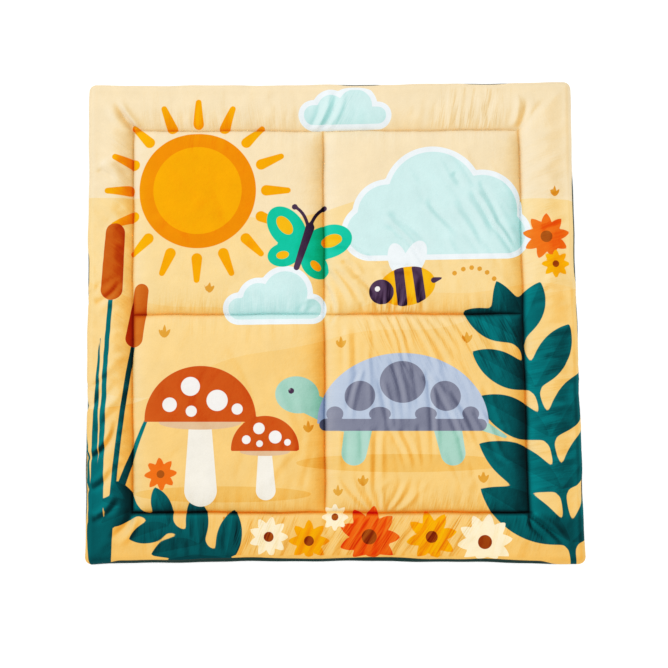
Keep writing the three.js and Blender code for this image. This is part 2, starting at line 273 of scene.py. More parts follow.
# Gathers: spare cloth that the stitches draw together beside a seam. family and line say which seam,
# side is the side of it, low and high the stretch along it. lean is how far a ridge runs sideways for
# each step away, reach how far it runs, spare the share of spare cloth and short the share cut short.
GATHER = [
    ("family", "U6"), ("line", int), ("side", int), ("low", float), ("high", float), ("pitch", float),
    ("lean", float), ("reach", float), ("spare", float), ("short", float),
]
GATHERS = np.array(
    [
        ("along", 1, -1, -190, -20, 16, 0.40, 110, 0.030, 0.30),
        ("along", 1, -1, -20, 330, 16, 0.66, 120, 0.034, 0.25),
        ("along", 1, -1, -430, -130, 21, 0.00, 60, 0.012, 0.70),
        ("along", 1, -1, 300, 480, 26, 0.30, 70, 0.014, 0.50),
        ("along", 3, 1, -70, 50, 18, 0.50, 90, 0.014, 0.45),
        ("along", 3, 1, 180, 370, 14, 0.14, 110, 0.022, 0.40),
        ("along", 3, 1, 370, 480, 18, -0.30, 80, 0.012, 0.45),
        ("along", 3, 1, -420, -20, 24, -0.10, 60, 0.010, 0.60),
        ("along", 2, -1, 10, 380, 18, -0.45, 110, 0.020, 0.50),
        ("along", 2, 1, 50, 200, 12, 0.10, 38, 0.038, 0.60),
        ("along", 2, 1, 190, 380, 18, 0.00, 34, 0.012, 0.60),
        ("along", 1, 1, -10, 340, 16, 0.20, 40, 0.014, 0.60),
        ("along", 2, 1, -390, -20, 24, 0.10, 40, 0.010, 0.70),
        ("along", 2, -1, -390, -20, 24, 0.00, 40, 0.010, 0.70),
        ("along", 3, -1, -390, 370, 24, 0.10, 32, 0.010, 0.70),
        ("along", 1, 1, -390, -20, 26, 0.10, 32, 0.008, 0.70),
        ("across", 3, 1, -390, 0, 24, 0.15, 80, 0.020, 0.50),
        ("across", 3, 1, 0, 390, 30, 0.30, 80, 0.012, 0.50),
        ("across", 1, -1, -390, 390, 30, -0.60, 90, 0.020, 0.40),
        ("across", 3, -1, -390, 390, 22, 0.10, 30, 0.006, 0.70),
        ("across", 2, 1, -390, 390, 26, 0.00, 34, 0.010, 0.70),
        ("across", 2, -1, -390, 390, 28, 0.00, 30, 0.008, 0.70),
        ("across", 1, 1, -390, 390, 28, 0.00, 30, 0.008, 0.70),
    ],
    GATHER,
)
# Folds listed one by one, each a soft ridge, or a trough where its height is under 0, between two points.
FOLD = [
    ("x0", float), ("y0", float), ("x1", float), ("y1", float),
    ("bend", float), ("width", float), ("height", float),
]
FOLDS = np.array(
    [
        # back left corner
        (-403, 387, -444, 443, 3, 5.5, -17), (-398, 396, -440, 450, 3, 6, 9),
        (-412, 384, -462, 436, 5, 8, 6),
        # back right corner
        (381, 391, 398, 456, -5, 6, -8), (370, 398, 380, 462, -4, 7, 4), (392, 388, 440, 452, 6, 7, -4),
        # front right corner
        (393, -393, 464, -450, 1, 5, -20), (392, -406, 440, -445, -5, 4.5, -13),
        (402, -392, 462, -438, 4, 5.5, 9), (396, -402, 452, -447, -2, 4, 10),
        # front left corner
        (-399, -388, -446, -440, 7, 7, -9), (-390, -398, -428, -452, 6, 7, 5),
        # border at the ends of the middle seam
        (-24, 391, 8, 472, -8, 5, -6), (-35, 394, -8, 472, -8, 5, 5), (-12, 393, 24, 470, -8, 5, 4),
        (-46, 394, -26, 460, -5, 5, -3.5), (-17, -388, -8, -440, 2, 6, -4),
        # left border, the sharp creases at its rim
        (-480, 30, -431, 77, -6, 6, -7), (-490, 48, -474, 76, -3, 4, -4),
        (-469, 322, -431, 292, 3, 9, 6), (-478, 306, -446, 284, 3, 6, -5),
        (-490, -184, -462, -132, -5, 6, -6), (-488, -284, -436, -208, -12, 6, -8),
        (-482, -268, -444, -204, -10, 6, 6), (-486, -346, -438, -300, -7, 6, -6),
        (-484, -330, -444, -288, -6, 7, 4), (-480, -408, -428, -364, -7, 6, -6),
        (-476, -394, -436, -352, -6, 7, 4), (-492, -140, -452, -112, -3, 4, -4),
        # pinch round the cross's middle
        (-12, 46, -8, -16, 10, 3.5, -6), (-2, 44, 2, -14, 10, 5, 3.5), (-72, 12, -26, 36, 8, 4.5, -3.5),
        (-54, 10, -24, 28, 6, 4, -3), (-62, 16, -27, 44, 8, 5, 2.5),
        # tucks above the cross's right arm
        (62, 9, 56, 34, 0, 3.6, -4.5), (91, 9, 84, 40, -1, 3.6, -5), (103, 9, 98, 44, -1, 3.6, -5),
        (116, 9, 119, 46, 1, 3.6, -6), (127, 9, 140, 42, 2, 3.6, -5.5), (182, 9, 181, 42, 0, 3.6, -5),
        (110, 9, 106, 46, 0, 4, 3), (134, 9, 150, 46, 2, 4.5, 3), (166, 44, 173, 90, 3, 7, 3),
        # back right panel
        (110, 203, 187, 111, 7, 4.5, 6.1), (118, 213, 202, 147, 4, 5, -6.1),
        (113, 188, 184, 108, 8, 4.5, -4.7), (118, 178, 184, 96, 8, 4.5, 3.4),
        (194, 240, 260, 173, -3, 5, -5.4), (185, 232, 250, 166, -3, 5, 3.4),
        (246, 298, 264, 268, 0, 5, -4.7), (300, 278, 342, 194, 3, 4.5, -5.4),
        (334, 208, 374, 138, 2, 4.5, -5.4), (290, 264, 334, 184, 3, 4.5, 5.4),
        (322, 202, 368, 144, 2, 4.5, 5.4), (283, 256, 328, 176, 4, 5, -6.1),
        (318, 198, 372, 122, 3, 5, -6.1), (268, 246, 318, 168, 4, 5, 3.4),
        (256, 236, 306, 152, 4, 6, -3.4), (244, 226, 300, 140, 4, 6, 2.7),
        (-6, 163, 76, 126, 8, 4.5, -4.7), (72, 127, 156, 107, -9, 4.5, -4.7),
        (148, 108, 190, 82, 3, 4.5, -4.7), (0, 153, 80, 116, 8, 4.5, 4.7),
        (76, 117, 162, 97, -8, 4.5, 4.1), (2, 141, 82, 104, 9, 5, -4.1),
        (19, 117, 54, 83, 3, 3.8, -7.4), (50, 87, 87, 47, 2, 3.8, -7.4), (24, 125, 62, 90, 3, 4, 5.4),
        (8, 105, 48, 74, 3, 4.5, 4.7), (44, 77, 78, 46, 1, 4.5, 4.7), (92, 96, 110, 50, 3, 6, 3.4),
        (-14, 100, 34, 22, 3, 4, -5.4), (-6, 105, 46, 28, 3, 4, 4.7), (4, 101, 58, 30, 4, 4, -4.7),
        (-16, 80, 18, 18, 2, 4, 4.7), (-14, 66, 6, 16, 1, 4, -4.7), (16, 99, 68, 34, 4, 4, 4.1),
        # front right panel
        (112, 6, 143, -93, 4, 4, -4.4), (122, 6, 152, -96, 4, 4.5, 3.6), (94, 4, 130, -78, 4, 4, -3.6),
        (103, 4, 136, -70, 4, 4, 2.8), (131, 5, 152, -66, 3, 4, -3.2), (140, 5, 162, -62, 3, 4, 2.8),
        (152, 4, 207, -113, 5, 4.5, -3.2), (161, 4, 216, -110, 5, 4.5, 2.8),
        (170, 4, 238, -114, 5, 4.5, -3), (180, 4, 246, -108, 5, 4.5, 2.7),
        (188, 4, 248, -80, 4, 4.5, -2.8), (198, 4, 254, -70, 4, 5, 2.4), (208, 3, 256, -58, 3, 5, -2.6),
        (222, 3, 264, -52, 3, 5, 2.4), (236, 3, 292, -84, 4, 5, -2.4), (262, 3, 322, -90, 4, 6, 2.4),
        (290, 3, 344, -96, 4, 6, -2), (72, 4, 84, -70, 2, 5, -2.4), (142, -92, 189, -124, 3, 4.5, -2.8),
        (184, -117, 219, -162, 3, 5, -3.2), (214, -156, 257, -252, 3, 5, -4),
        (252, -240, 264, -296, 1, 5, -3.2), (195, -117, 229, -162, 3, 5, 2.8),
        (224, -158, 265, -248, 3, 5, 3.2), (290, -142, 324, -184, 2, 4.5, 3.2),
        (320, -178, 350, -246, 2, 4.5, 3.2), (300, -150, 338, -218, 3, 4.5, -3.2),
        (334, -210, 353, -252, 1, 5, -2.8), (294, -186, 337, -276, 4, 4.5, 3.2),
        (334, -272, 373, -299, -2, 5, 2.8), (284, -190, 327, -281, 4, 5, -2.8),
        (230, -152, 283, -258, 5, 4.5, 2.8), (279, -254, 340, -294, -3, 5, 2.8),
        (240, -150, 293, -253, 5, 4.5, -2.8), (16, -14, 18, -120, 2, 6, -2.8),
        (28, -20, 30, -130, 2, 6, 2.4), (44, -30, 46, -128, 1, 5, -2.8),
        (54, -104, 28, -200, -6, 4.5, -3.2), (62, -100, 38, -204, -6, 5, 2.8),
        (70, -60, 74, -210, 2, 5, 2.4), (92, -126, 110, -216, 3, 4.5, -3.2),
        (100, -124, 118, -210, 3, 4.5, 2.4), (120, -92, 142, -196, 4, 4.5, -3.6),
        (130, -96, 150, -190, 4, 5, 2.8), (160, -100, 172, -190, 2, 5, -2.4),
        (190, -112, 200, -294, 3, 4.5, -3.6), (200, -124, 208, -282, 3, 5, 2.4),
        (72, -222, 72, -374, 1, 6, 2.4), (88, -226, 84, -380, -2, 4.5, -3.2),
        (56, -226, 58, -300, 1, 5, -2.8), (98, -230, 96, -330, 0, 5, 2.8),
        (113, -222, 147, -305, 4, 4.5, -3.6), (122, -222, 157, -297, 4, 4.5, 2.8),
        (138, -226, 167, -301, 4, 4.5, -2.8), (148, -226, 175, -291, 3, 5, 2.4),
        (30, -230, 28, -320, 0, 6, -2.4), (14, -226, 12, -330, 0, 5, 2.4),
        (170, -216, 181, -301, 2, 5, -2.4), (72, -386, 10, -308, 4, 4, -4.2),
        (66, -386, 4, -322, 3, 4, 3.8), (76, -386, 34, -312, 3, 4.5, 3.4),
        (84, -386, 60, -320, 2, 4, -3.8), (112, -386, 151, -321, -3, 4.5, 2.8),
        (118, -387, 161, -330, -3, 4, -3.2), (106, -386, 137, -321, -3, 4, -3.4),
        (100, -386, 96, -330, 0, 4, 3.4), (128, -387, 173, -343, -3, 4.5, 3.4),
        (94, -386, 88, -340, 0, 3.8, -4.2),
        # back left panel
        (-170, 150, -50, 60, 14, 13, -2.6), (-140, 170, -30, 90, 14, 11, 2.4),
        (-200, 60, -60, 30, 8, 12, 2), (-360, 210, -290, 140, 6, 12, 1.8),
        (-348, 190, -286, 126, 6, 12, -1.4),
        # front left panel
        (-210, -60, -150, -210, 12, 15, -2), (-330, -120, -250, -280, 12, 17, 2),
        (-120, -120, -70, -300, 8, 14, 2), (-130, -330, -60, -250, 8, 9, 1.8),
        (-60, -340, -36, -260, 4, 8, -1.8),
        # right border
        (430, 60, 486, 44, 5, 7, -4), (432, 84, 488, 70, 4, 7, 3), (430, -80, 488, -96, 5, 6, -4),
        (430, -30, 486, -20, 3, 8, 2.5), (428, 180, 480, 196, 3, 9, -3),
        (430, -220, 486, -240, 3, 7, -3), (420, -196, 480, -202, 4, 5, -3),
        (424, -180, 486, -182, 4, 6, 3), (404, 30, 440, 34, 2, 6, -3),
        # left border, the soft folds across it
        (-470, -180, -420, -120, 4, 8, -4), (-472, -230, -424, -176, 4, 8, -3.5),
        (-468, -120, -420, -70, 4, 9, 3), (-468, 180, -424, 240, 4, 10, -3),
        (-470, -206, -422, -148, 4, 9, 3), (-472, 60, -424, 90, 4, 10, -2.5),
        (-470, 300, -430, 340, 2, 10, 3), (-476, 10, -424, 50, 4, 9, 2.5),
    ],
    FOLD,
)
# Fields of small creases, scattered over an oval: its middle and half sizes, the creases' heading and
# its spread in degrees, how many there are, and their length, width and height.
FIELD = [
    ("x", float), ("y", float), ("wide", float), ("tall", float), ("heading", float), ("spread", float),
    ("count", int), ("length", float), ("width", float), ("height", float),
]
FIELDS = np.array(
    [
        (90, 110, 100, 80, -42, 10, 9, 110, 5, 1.4), (260, 220, 110, 120, -58, 6, 14, 130, 5, 1.5),
        (150, 320, 150, 50, -30, 20, 6, 90, 8, 0.6), (290, 80, 80, 60, -60, 12, 6, 80, 7, 0.8),
        (150, -90, 140, 70, -64, 8, 12, 110, 4.5, 0.9), (100, -230, 90, 110, -86, 8, 12, 120, 5, 0.9),
        (270, -190, 100, 130, -62, 6, 12, 130, 5, 0.9), (120, -350, 100, 30, 70, 25, 8, 46, 4.5, 1.1),
        (300, -340, 70, 40, 80, 20, 5, 50, 7, 0.7),
        (-120, 130, 90, 100, -35, 14, 12, 120, 12, 1.1), (-300, 180, 90, 120, -60, 25, 8, 110, 15, 0.8),
        (-220, 320, 150, 50, -10, 30, 6, 110, 15, 0.7),
        (-110, -260, 90, 110, 65, 18, 12, 110, 12, 0.9), (-300, -200, 90, 140, 70, 25, 10, 120, 15, 0.8),
        (450, 40, 26, 120, 8, 14, 16, 54, 7, 0.9), (452, -200, 26, 130, -4, 10, 26, 56, 5, 1.0),
        (442, 250, 26, 100, -10, 20, 10, 54, 9, 0.9), (448, -380, 24, 50, 0, 20, 6, 50, 9, 0.8),
        (-448, -180, 26, 160, 48, 12, 22, 70, 7, 0.9), (-452, 150, 24, 160, 40, 18, 14, 70, 10, 0.8),
        (-300, -436, 120, 26, 88, 10, 16, 60, 7, 0.9), (300, -440, 90, 24, 70, 20, 8, 60, 8, 0.9),
        (-220, 440, 160, 24, 80, 14, 10, 60, 10, 0.7), (200, 440, 200, 26, 84, 12, 16, 60, 7, 0.8),
    ],
    FIELD,
)
FIELD_SEED = 11
# How a field's creases differ: spreads of length, width and height as shares of the field's own, and
# of the bend as a share of the half length.
FIELD_LENGTHS, FIELD_WIDTHS, FIELD_HEIGHTS, FIELD_BENDS = (0.5, 1.3), (0.7, 1.3), (0.5, 1.3), 0.1

FOLD_SHARE = 0.58  # of the heights given above
FOLD_START = 4.0  # distance from a groove at which a fold is full
FOLD_PAST_RIM = 5.0  # how far beyond the outline a fold is gone
FOLD_PAST_END = 0.08  # how far a fold runs past its two points, as a share of its length
RIDGE_POWER, TROUGH_POWER = 2, 1.4  # of the bell curve across a fold

SLACK = 0.004  # spare cloth everywhere
GATHER_SEED = 7
GATHER_SHARE = 1.1  # of the settled gathers' height
GATHER_START, PLEAT_START = 5.0, 4.0  # distances from a seam at which gathers and pleats are full
ROW_FADE, RIDGE_FADE = 50.0, 40.0  # of a row's spare cloth and of its ridges, at both ends of the row
CORNER_FADE = 110.0  # distance past the end of a seam at which its gathers are gone
PLEATED_AT = 0.034  # share of spare cloth at which the fine pleats are full
PLEATS_MOST = 1.2  # depth at which they stop growing, 1 being full
# How the ridges of a row differ: spreads of the gap to the next, of the height and of the reach, whole
# or cut short, as shares of the row's own, and of the width as a share of the gap.
GAPS, HEIGHTS, REACHES, CUT_REACHES, WIDTHS = (0.6, 1.45), (0.3, 1.0), (0.8, 1.3), (0.25, 0.6), (0.32, 0.42)
LEAN_SPREAD, SWAY_SPREAD = 0.08, 0.0012
LATE_SHARE, LATE_STARTS = 0.3, (0.1, 0.5)  # of the ridges that start away from the seam, and where
RIDGE_START, RIDGE_FIRST = 12.0, 0.3  # over which a ridge rises, and how far up it starts


def scattered(field, chance):
    """A field's creases as rows of FOLD, each a ridge or a trough with the same chance."""
    folds = np.empty(field["count"], FOLD)
    angle, far = chance.uniform(0, 2 * np.pi, len(folds)), np.sqrt(chance.random(len(folds)))
    x = field["x"] + field["wide"] * far * np.cos(angle)
    y = field["y"] + field["tall"] * far * np.sin(angle)
    heading = np.radians(field["heading"] + field["spread"] * chance.normal(0, 1, len(folds)))
    half = field["length"] / 2 * chance.uniform(*FIELD_LENGTHS, len(folds))
    folds["x0"], folds["x1"] = x - half * np.cos(heading), x + half * np.cos(heading)
    folds["y0"], folds["y1"] = y - half * np.sin(heading), y + half * np.sin(heading)
    folds["bend"] = half * chance.normal(0, FIELD_BENDS, len(folds))
    folds["width"] = field["width"] * chance.uniform(*FIELD_WIDTHS, len(folds))
    height = field["height"] * chance.uniform(*FIELD_HEIGHTS, len(folds))
    folds["height"] = height * chance.choice([-1, 1], len(folds))
    return folds


def fold_relief(x, y, folds, start):
    """Sum of the folds: each a bell curve across a bent line, sharper in a trough.

    A fold is eased in over the share start of its length, and out over its last half.
    """
    relief = np.zeros(x.shape)
    for fold in folds:
        dx, dy = fold["x1"] - fold["x0"], fold["y1"] - fold["y0"]
        length = np.hypot(dx, dy)
        t = ((x - fold["x0"]) * dx + (y - fold["y0"]) * dy) / length**2
        off = ((y - fold["y0"]) * dx - (x - fold["x0"]) * dy) / length - fold["bend"] * 4 * t * (1 - t)
        share = eased((1 + FOLD_PAST_END - t) / 0.5) * eased((t + FOLD_PAST_END) / start)
        power = TROUGH_POWER if fold["height"] < 0 else RIDGE_POWER
        relief += fold["height"] * share * np.exp(-(abs(off / fold["width"]) ** power))
    return relief


def outward(points):
    """Unit normals of a grid of points, from the cross product of its two slopes."""
    normal = np.cross(np.gradient(points, axis=1), np.gradient(points, axis=0))
    return normal / np.maximum(np.linalg.norm(normal, axis=-1, keepdims=True), 1e-9)


def folded_top(grid):
    """The filled top with the folds on it, along its normals and none at the seams."""
    smooth = filled_top(grid)
    share = eased(seam_distance(grid.x, grid.y) / FOLD_START) * (grid.ring < 1)
    share = share * eased((inside_rim(grid.x, grid.y) + FOLD_PAST_RIM) / (RIM_RADIUS + FOLD_PAST_RIM))
    relief = fold_relief(grid.x, grid.y, FOLDS, start=0.2)
    relief = relief + fold_relief(grid.x, grid.y, small_folds, start=0.5)
    return smooth + outward(smooth) * (FOLD_SHARE * relief * share)[..., None]


def facing(grid, family):
    """Places along and above a family's seams, with the plan lines of that family and of the other."""
    if family == "across":
        return grid.y, grid.x, ACROSS, ALONG
    return grid.x, grid.y, ALONG, ACROSS


def past_ends(others, x, y):
    """Distance past the ends of a seam, where it meets the frame's lines of the other family."""
    return np.maximum(at_line(others, 1, y) - x, x - at_line(others, 3, y)).clip(0)


def beside(grid, row):
    """A point's place beside a row of gathers, and the share of the row's spare cloth that is there.

    The place is along the seam, above it, away from it on the row's side, and along the seam where the
    gather that runs through the point starts. The share is 0 on the other side and past the next line.
    """
    x, y, lines, others = facing(grid, row["family"])
    above = y - at_line(lines, row["line"], x)
    away = above * row["side"]
    beyond = (y - at_line(lines, row["line"] + row["side"], x)) * row["side"]
    start = x - above * row["lean"]
    share = within(start, row["low"], row["high"], ROW_FADE) * np.exp(-((away / row["reach"]) ** 2))
    share = share * eased(1 - past_ends(others, x, y) / CORNER_FADE)
    return x, above, away, start, share * (away > 0) * (beyond < RIM_RADIUS)


def gathered(grid, row, chance):
    """Spare cloth beside one seam, as its shares along x, y and xy, and the ridges it starts as.

    The ridges are bell curves across the gathers' lean, unevenly apart, tall and long, and each fades
    in a bell curve of the distance from where it starts.
    """
    x, above, away, _, share = beside(grid, row)
    starts = eased(away / GATHER_START) * (share > 0)
    away = away.clip(0)
    spread = row["spare"] * share * starts
    across = np.array([1.0, -row["lean"]]) / np.hypot(1.0, row["lean"])
    nx, ny = across[::-1] if row["family"] == "across" else across
    spare = spread[..., None] * np.array([nx * nx, ny * ny, nx * ny])
    ridges = np.zeros(grid.x.shape)
    height = 2 * row["pitch"] / np.pi * np.sqrt(row["spare"])
    place = row["low"]
    while place < row["high"]:
        gap = row["pitch"] * chance.uniform(*GAPS)
        place += gap
        lean, sway = row["lean"] + chance.normal(0, LEAN_SPREAD), chance.normal(0, SWAY_SPREAD)
        near = 0.0 if chance.random() > LATE_SHARE else chance.uniform(*LATE_STARTS) * row["reach"]
        cut = chance.random() < row["short"]
        far = row["reach"] * chance.uniform(*(CUT_REACHES if cut else REACHES))
        tall = height * chance.uniform(*HEIGHTS)
        wide = gap * chance.uniform(*WIDTHS)
        off = x - above * lean - sway * above * away - place
        run = eased((away - near) / RIDGE_START + RIDGE_FIRST)
        run = run * np.exp(-(((away - near).clip(0) / far) ** 2))
        ends = within(place, row["low"], row["high"], RIDGE_FADE)
        ridges += tall * ends * run * np.exp(-((off / wide) ** 2))
    return spare, ridges * starts


def pleats(grid, family):
    """The fine pleats beside a family's seams: where they start along the seam, how far above, how deep.

    The first two are the rows' means, weighted by each row's spare cloth, and the depth is the sum.
    """
    places, total = np.zeros((2, *grid.x.shape)), np.full(grid.x.shape, 1e-4)
    for row in GATHERS[GATHERS["family"] == family]:
        _, above, away, start, share = beside(grid, row)
        weight = row["spare"] / PLEATED_AT * share * eased(away / PLEAT_START)
        places += weight * np.stack([start, above])
        total += weight
    return *(places / total), total.clip(0, PLEATS_MOST)


def settled(smooth, spare, ridges, held, turns, stiffness=0.06, filling=0.0015, pull=0.4):
    """The cloth's form once it has settled: each turn bends it back and pulls its threads to length.

    A thread between two neighbours, straight or slanting, has its length in the smooth form, more by
    the spare cloth in its direction. Bending takes away a share of the move's Laplacian, twice over,
    and the filling draws each point back to the smooth form. Held points stay.
    """
    free = (~held)[..., None].astype(np.float32)
    smooth = smooth.astype(np.float32)
    points = smooth + outward(smooth) * (ridges[..., None] * free).astype(np.float32)
    all_of, first, rest = slice(None), slice(0, -1), slice(1, None)
    threads = []
    for a, b in (
        ((all_of, first), (all_of, rest)),
        ((first, all_of), (rest, all_of)),
        ((first, first), (rest, rest)),
        ((first, rest), (rest, first)),
    ):
        step = smooth[b] - smooth[a]
        length = np.maximum(np.linalg.norm(step, axis=-1), 1e-4)
        share = (spare[a] + spare[b]) / 2
        dx, dy = step[..., 0] / length, step[..., 1] / length
        extra = share[..., 0] * dx**2 + share[..., 1] * dy**2 + 2 * share[..., 2] * dx * dy
        threads.append((a, b, (length * (1 + extra)).astype(np.float32)))

    def laplacian(field):
        """Mean of the four neighbours less the point itself, 0 at the border."""
        out = np.zeros_like(field)
        inner = field[1:-1, 1:-1]
        around = field[1:-1, :-2] + field[1:-1, 2:] + field[:-2, 1:-1] + field[2:, 1:-1]
        out[1:-1, 1:-1] = around / 4 - inner
        return out

    for _ in range(turns):
        move = points - smooth
        move = (move - stiffness * laplacian(laplacian(move))) * ((1 - filling) * free)
        points = smooth + move
        for a, b, length in threads:
            step = points[b] - points[a]
            now = np.sqrt(np.einsum("...i,...i", step, step)) + 1e-6
            step *= (pull * (1 - length / now))[..., None]
            points[a] += step * free[a]
            points[b] -= step * free[b]
    return points - smooth


def finer(field, old, new):
    """A field on one grid's lines read at another's, by Catmull-Rom curves through four lines."""
    for axis, (old_lines, new_lines) in enumerate(((old.rows, new.rows), (old.columns, new.columns))):
        place = np.interp(new_lines, old_lines, np.arange(len(old_lines)))
        base = np.minimum(place.astype(int), len(old_lines) - 2)
        t = place - base
        weights = (
            -0.5 * t + t**2 - 0.5 * t**3,
            1 - 2.5 * t**2 + 1.5 * t**3,
            0.5 * t + 2 * t**2 - 1.5 * t**3,
            -0.5 * t**2 + 0.5 * t**3,
        )
        field = np.moveaxis(field, axis, -1)
        field = sum(
            field[..., (base + n - 1).clip(0, len(old_lines) - 1)] * w for n, w in enumerate(weights)
        )
        field = np.moveaxis(field, -1, axis)
    return field


SETTLING_STEP = 3.9  # of the even grid that the cloth settles on
SETTLING_TURNS = 320

field_chance = np.random.default_rng(FIELD_SEED)
small_folds = np.concatenate([scattered(field, field_chance) for field in FIELDS])
settling = lay_out(SETTLING_STEP, (), TOP_RINGS)
chance = np.random.default_rng(GATHER_SEED)
beside_seams = [gathered(settling, row, chance) for row in GATHERS]
spare_cloth = sum(spare for spare, _ in beside_seams) + np.array([SLACK, SLACK, 0])
first_ridges = sum(ridges for _, ridges in beside_seams)
gathers = settled(folded_top(settling), spare_cloth, first_ridges, stitched_down(settling), SETTLING_TURNS)
top_grid = lay_out(TOP_STEP, TOP_NEAR_SEAM, TOP_RINGS)
top_points = folded_top(top_grid) + GATHER_SHARE * finer(gathers, settling, top_grid)


def grid_faces(rows, columns, offset=0):
    """Quads of a grid of points numbered row by row."""
    n = np.arange(rows * columns).reshape(rows, columns) + offset
    return np.stack([n[:-1, :-1], n[:-1, 1:], n[1:, 1:], n[1:, :-1]], -1).reshape(-1, 4)


def rim_loop(field):
    """Values of a grid's outermost points, once round from the front left corner."""
    return np.concatenate([field[0, :-1], field[:-1, -1], field[-1, :0:-1], field[:0:-1, 0]])


def strip_faces(first, second):
    """Quads between two closed loops of point numbers of the same count."""
    return np.stack([first, second, np.roll(second, -1), np.roll(first, -1)], -1)


def new_piece(name, points, faces):
    """A mesh object of points in millimetres and faces, smooth shaded, with its object at the origin."""
    mesh = bpy.data.meshes.new(name)
    mesh.from_pydata((points * METRES).tolist(), [], faces)
    mesh.shade_smooth()
    piece = bpy.data.objects.new(name, mesh)
    bpy.context.scene.collection.objects.link(piece)
    return piece


def bake_map(piece, places):
    """The piece's own map, from each point's place on it."""
    corner = np.empty(len(piece.data.loops), np.int32)
    piece.data.loops.foreach_get("vertex_index", corner)
    layer = piece.data.uv_layers.new(name="OFBake")
    layer.uv.foreach_set("vector", places[corner].astype(np.float32).ravel())


def unrolled(grid, turn):
    """Places of a grid's points on flat cloth: those on the rings lie out by the arc of their turn."""
    arc = grid.ring * RIM_RADIUS * turn
    return grid.x + grid.out[..., 0] * arc, grid.y + grid.out[..., 1] * arc


BACK_CLOTH = 2.0
CLOTH_GAP = 0.3
UNDERSIDE_LIFT = 4.6  # of the filling's flat underside, clear of the back cloth's channels
UNDERSIDE_RINGS = 5
MAP_SPAN = 1090.0  # of flat cloth across a map's full width
MAP_MIDDLE = (0.48, 0.5)  # the plan's middle on it
UNDER_MAP_CORNER, UNDER_MAP_SHARE = (0.985, 0.5), 0.02  # where the hidden side is drawn, and how small

rows, columns = top_grid.x.shape
flat_x, flat_y = unrolled(top_grid, np.pi / 2 - np.radians(SEAM_LOW))
edge = SimpleNamespace(
    x=rim_loop(top_grid.x)[None], y=rim_loop(top_grid.y)[None], out=rim_loop(top_grid.out)[None]
)
edge_angle = rim_loop(rim_seam_angle(top_grid))[None]
edge_numbers = rim_loop(np.arange(rows * columns).reshape(rows, columns))
inset = BACK_CLOTH + CLOTH_GAP
under_points, under_numbers = [], [edge_numbers]
for turn in np.linspace(0, 1, UNDERSIDE_RINGS):
    angle = edge_angle + (-np.pi / 2 - edge_angle) * turn
    under_numbers.append(rows * columns + len(under_points) * edge.x.size + np.arange(edge.x.size))
    under_points.append(rolled(edge, angle, RIM_RADIUS - inset, RIM_CROWN - inset, UNDERSIDE_LIFT)[0])
top_faces = grid_faces(rows, columns).tolist()
for outer, inner in zip(under_numbers[:-1], under_numbers[1:]):
    top_faces += strip_faces(outer, inner).tolist()
top_faces.append(under_numbers[-1][::-1].tolist())
printed_top = new_piece(
    "quilted_top", np.concatenate([top_points.reshape(-1, 3), *under_points]), top_faces
)
upper_map = np.stack([flat_x, flat_y], -1).reshape(-1, 2) / MAP_SPAN + MAP_MIDDLE
under_map = np.concatenate(under_points)[:, :2] / MAP_SPAN * UNDER_MAP_SHARE + UNDER_MAP_CORNER
bake_map(printed_top, np.concatenate([upper_map, under_map]))

# Painted shade and light on the slopes: slopes falling to the front right, away from the window light,
# are painted deeper in colour, and slopes facing the back left a little paler. The painted slope shade's
# share is 1 on the top, less as the cloth turns over the rim and beside a seam. The painted shade is
# deeper near a seam's line, in its groove, and in the front border, which slopes away from the window,
# most of all at its rim.
SLOPE_SHADE_WAY = (0.93, -0.36, 0.0)
SLOPE_SHADE_ENDS = 0.4  # share of the way round the rim at which the painted slope shade is gone
GROOVE_REACH = 2.0  # over which the painted shade in a seam's groove fades
SLOPE_SHADE_CUT, SLOPE_SHADE_CUT_REACH = 0.7, 6.5  # share of the painted slope shade taken away beside a seam, and how far away
# Painted shade in the front border, which slopes away from the window light: its depth and fade, then its
# depth and width at the rim.
FRONT_SHADE, FRONT_FADE = 0.2, 16.0
FRONT_RIM_SHADE, FRONT_RIM_WIDE = 0.35, 26.0
painted_shade, slope_shade_cut = np.zeros((2, *top_grid.x.shape))
for seam in SEAMS:
    x, y, lines, others = facing(top_grid, seam["family"])
    away = np.hypot(y - at_line(lines, seam["line"], x), past_ends(others, x, y))
    depth = seam["deep"] + more_open(seam["family"], seam["line"], x, "deeper")
    painted_shade = np.maximum(painted_shade, depth * np.exp(-away / GROOVE_REACH))
    slope_shade_cut = np.maximum(slope_shade_cut, SLOPE_SHADE_CUT * np.exp(-((away / SLOPE_SHADE_CUT_REACH) ** 2)))
slope_shade_share = eased(1 - top_grid.ring / SLOPE_SHADE_ENDS) * (1 - slope_shade_cut)
# The front border's painted shade, more near its rim, where no seam's painted shade is deeper.
in_front = eased((at_line(ALONG, 1, top_grid.x) - top_grid.y) / FRONT_FADE)
at_rim = eased(1 - (top_grid.y - at_line(ALONG, 0, top_grid.x)) / FRONT_RIM_WIDE)
painted_shade = np.maximum(painted_shade, FRONT_SHADE * in_front + FRONT_RIM_SHADE * at_rim)


def point_values(piece, name, values, rest=0.0):
    """Store a value at each point of the piece: rest is for the points beyond the given ones."""
    every = np.full(len(piece.data.vertices), rest, np.float32)
    every[: values.size] = values.ravel()
    piece.data.attributes.new(name, "FLOAT", "POINT").data.foreach_set("value", every)


# The painted slope shade's share, the painted shade of grooves and front border, and the pleats, at each
# point.
point_values(printed_top, "slope_shade_share", slope_shade_share)
point_values(printed_top, "painted_shade", painted_shade)
for family in ("along", "across"):
    for name, values in zip(("at", "above", "deep"), pleats(top_grid, family)):
        point_values(printed_top, f"pleat_{name}_{family}", values)

# The print on the top: a flat nursery picture in plain inks, one over another. Each ink is stored as
# its distance in millimetres from its own edge, under 0 where the cloth is inked.
INK_FAR = 60.0


def disc(x, y, radius):
    """Distance to a circle round x, y."""
    return np.hypot(flat_x - x, flat_y - y) - radius


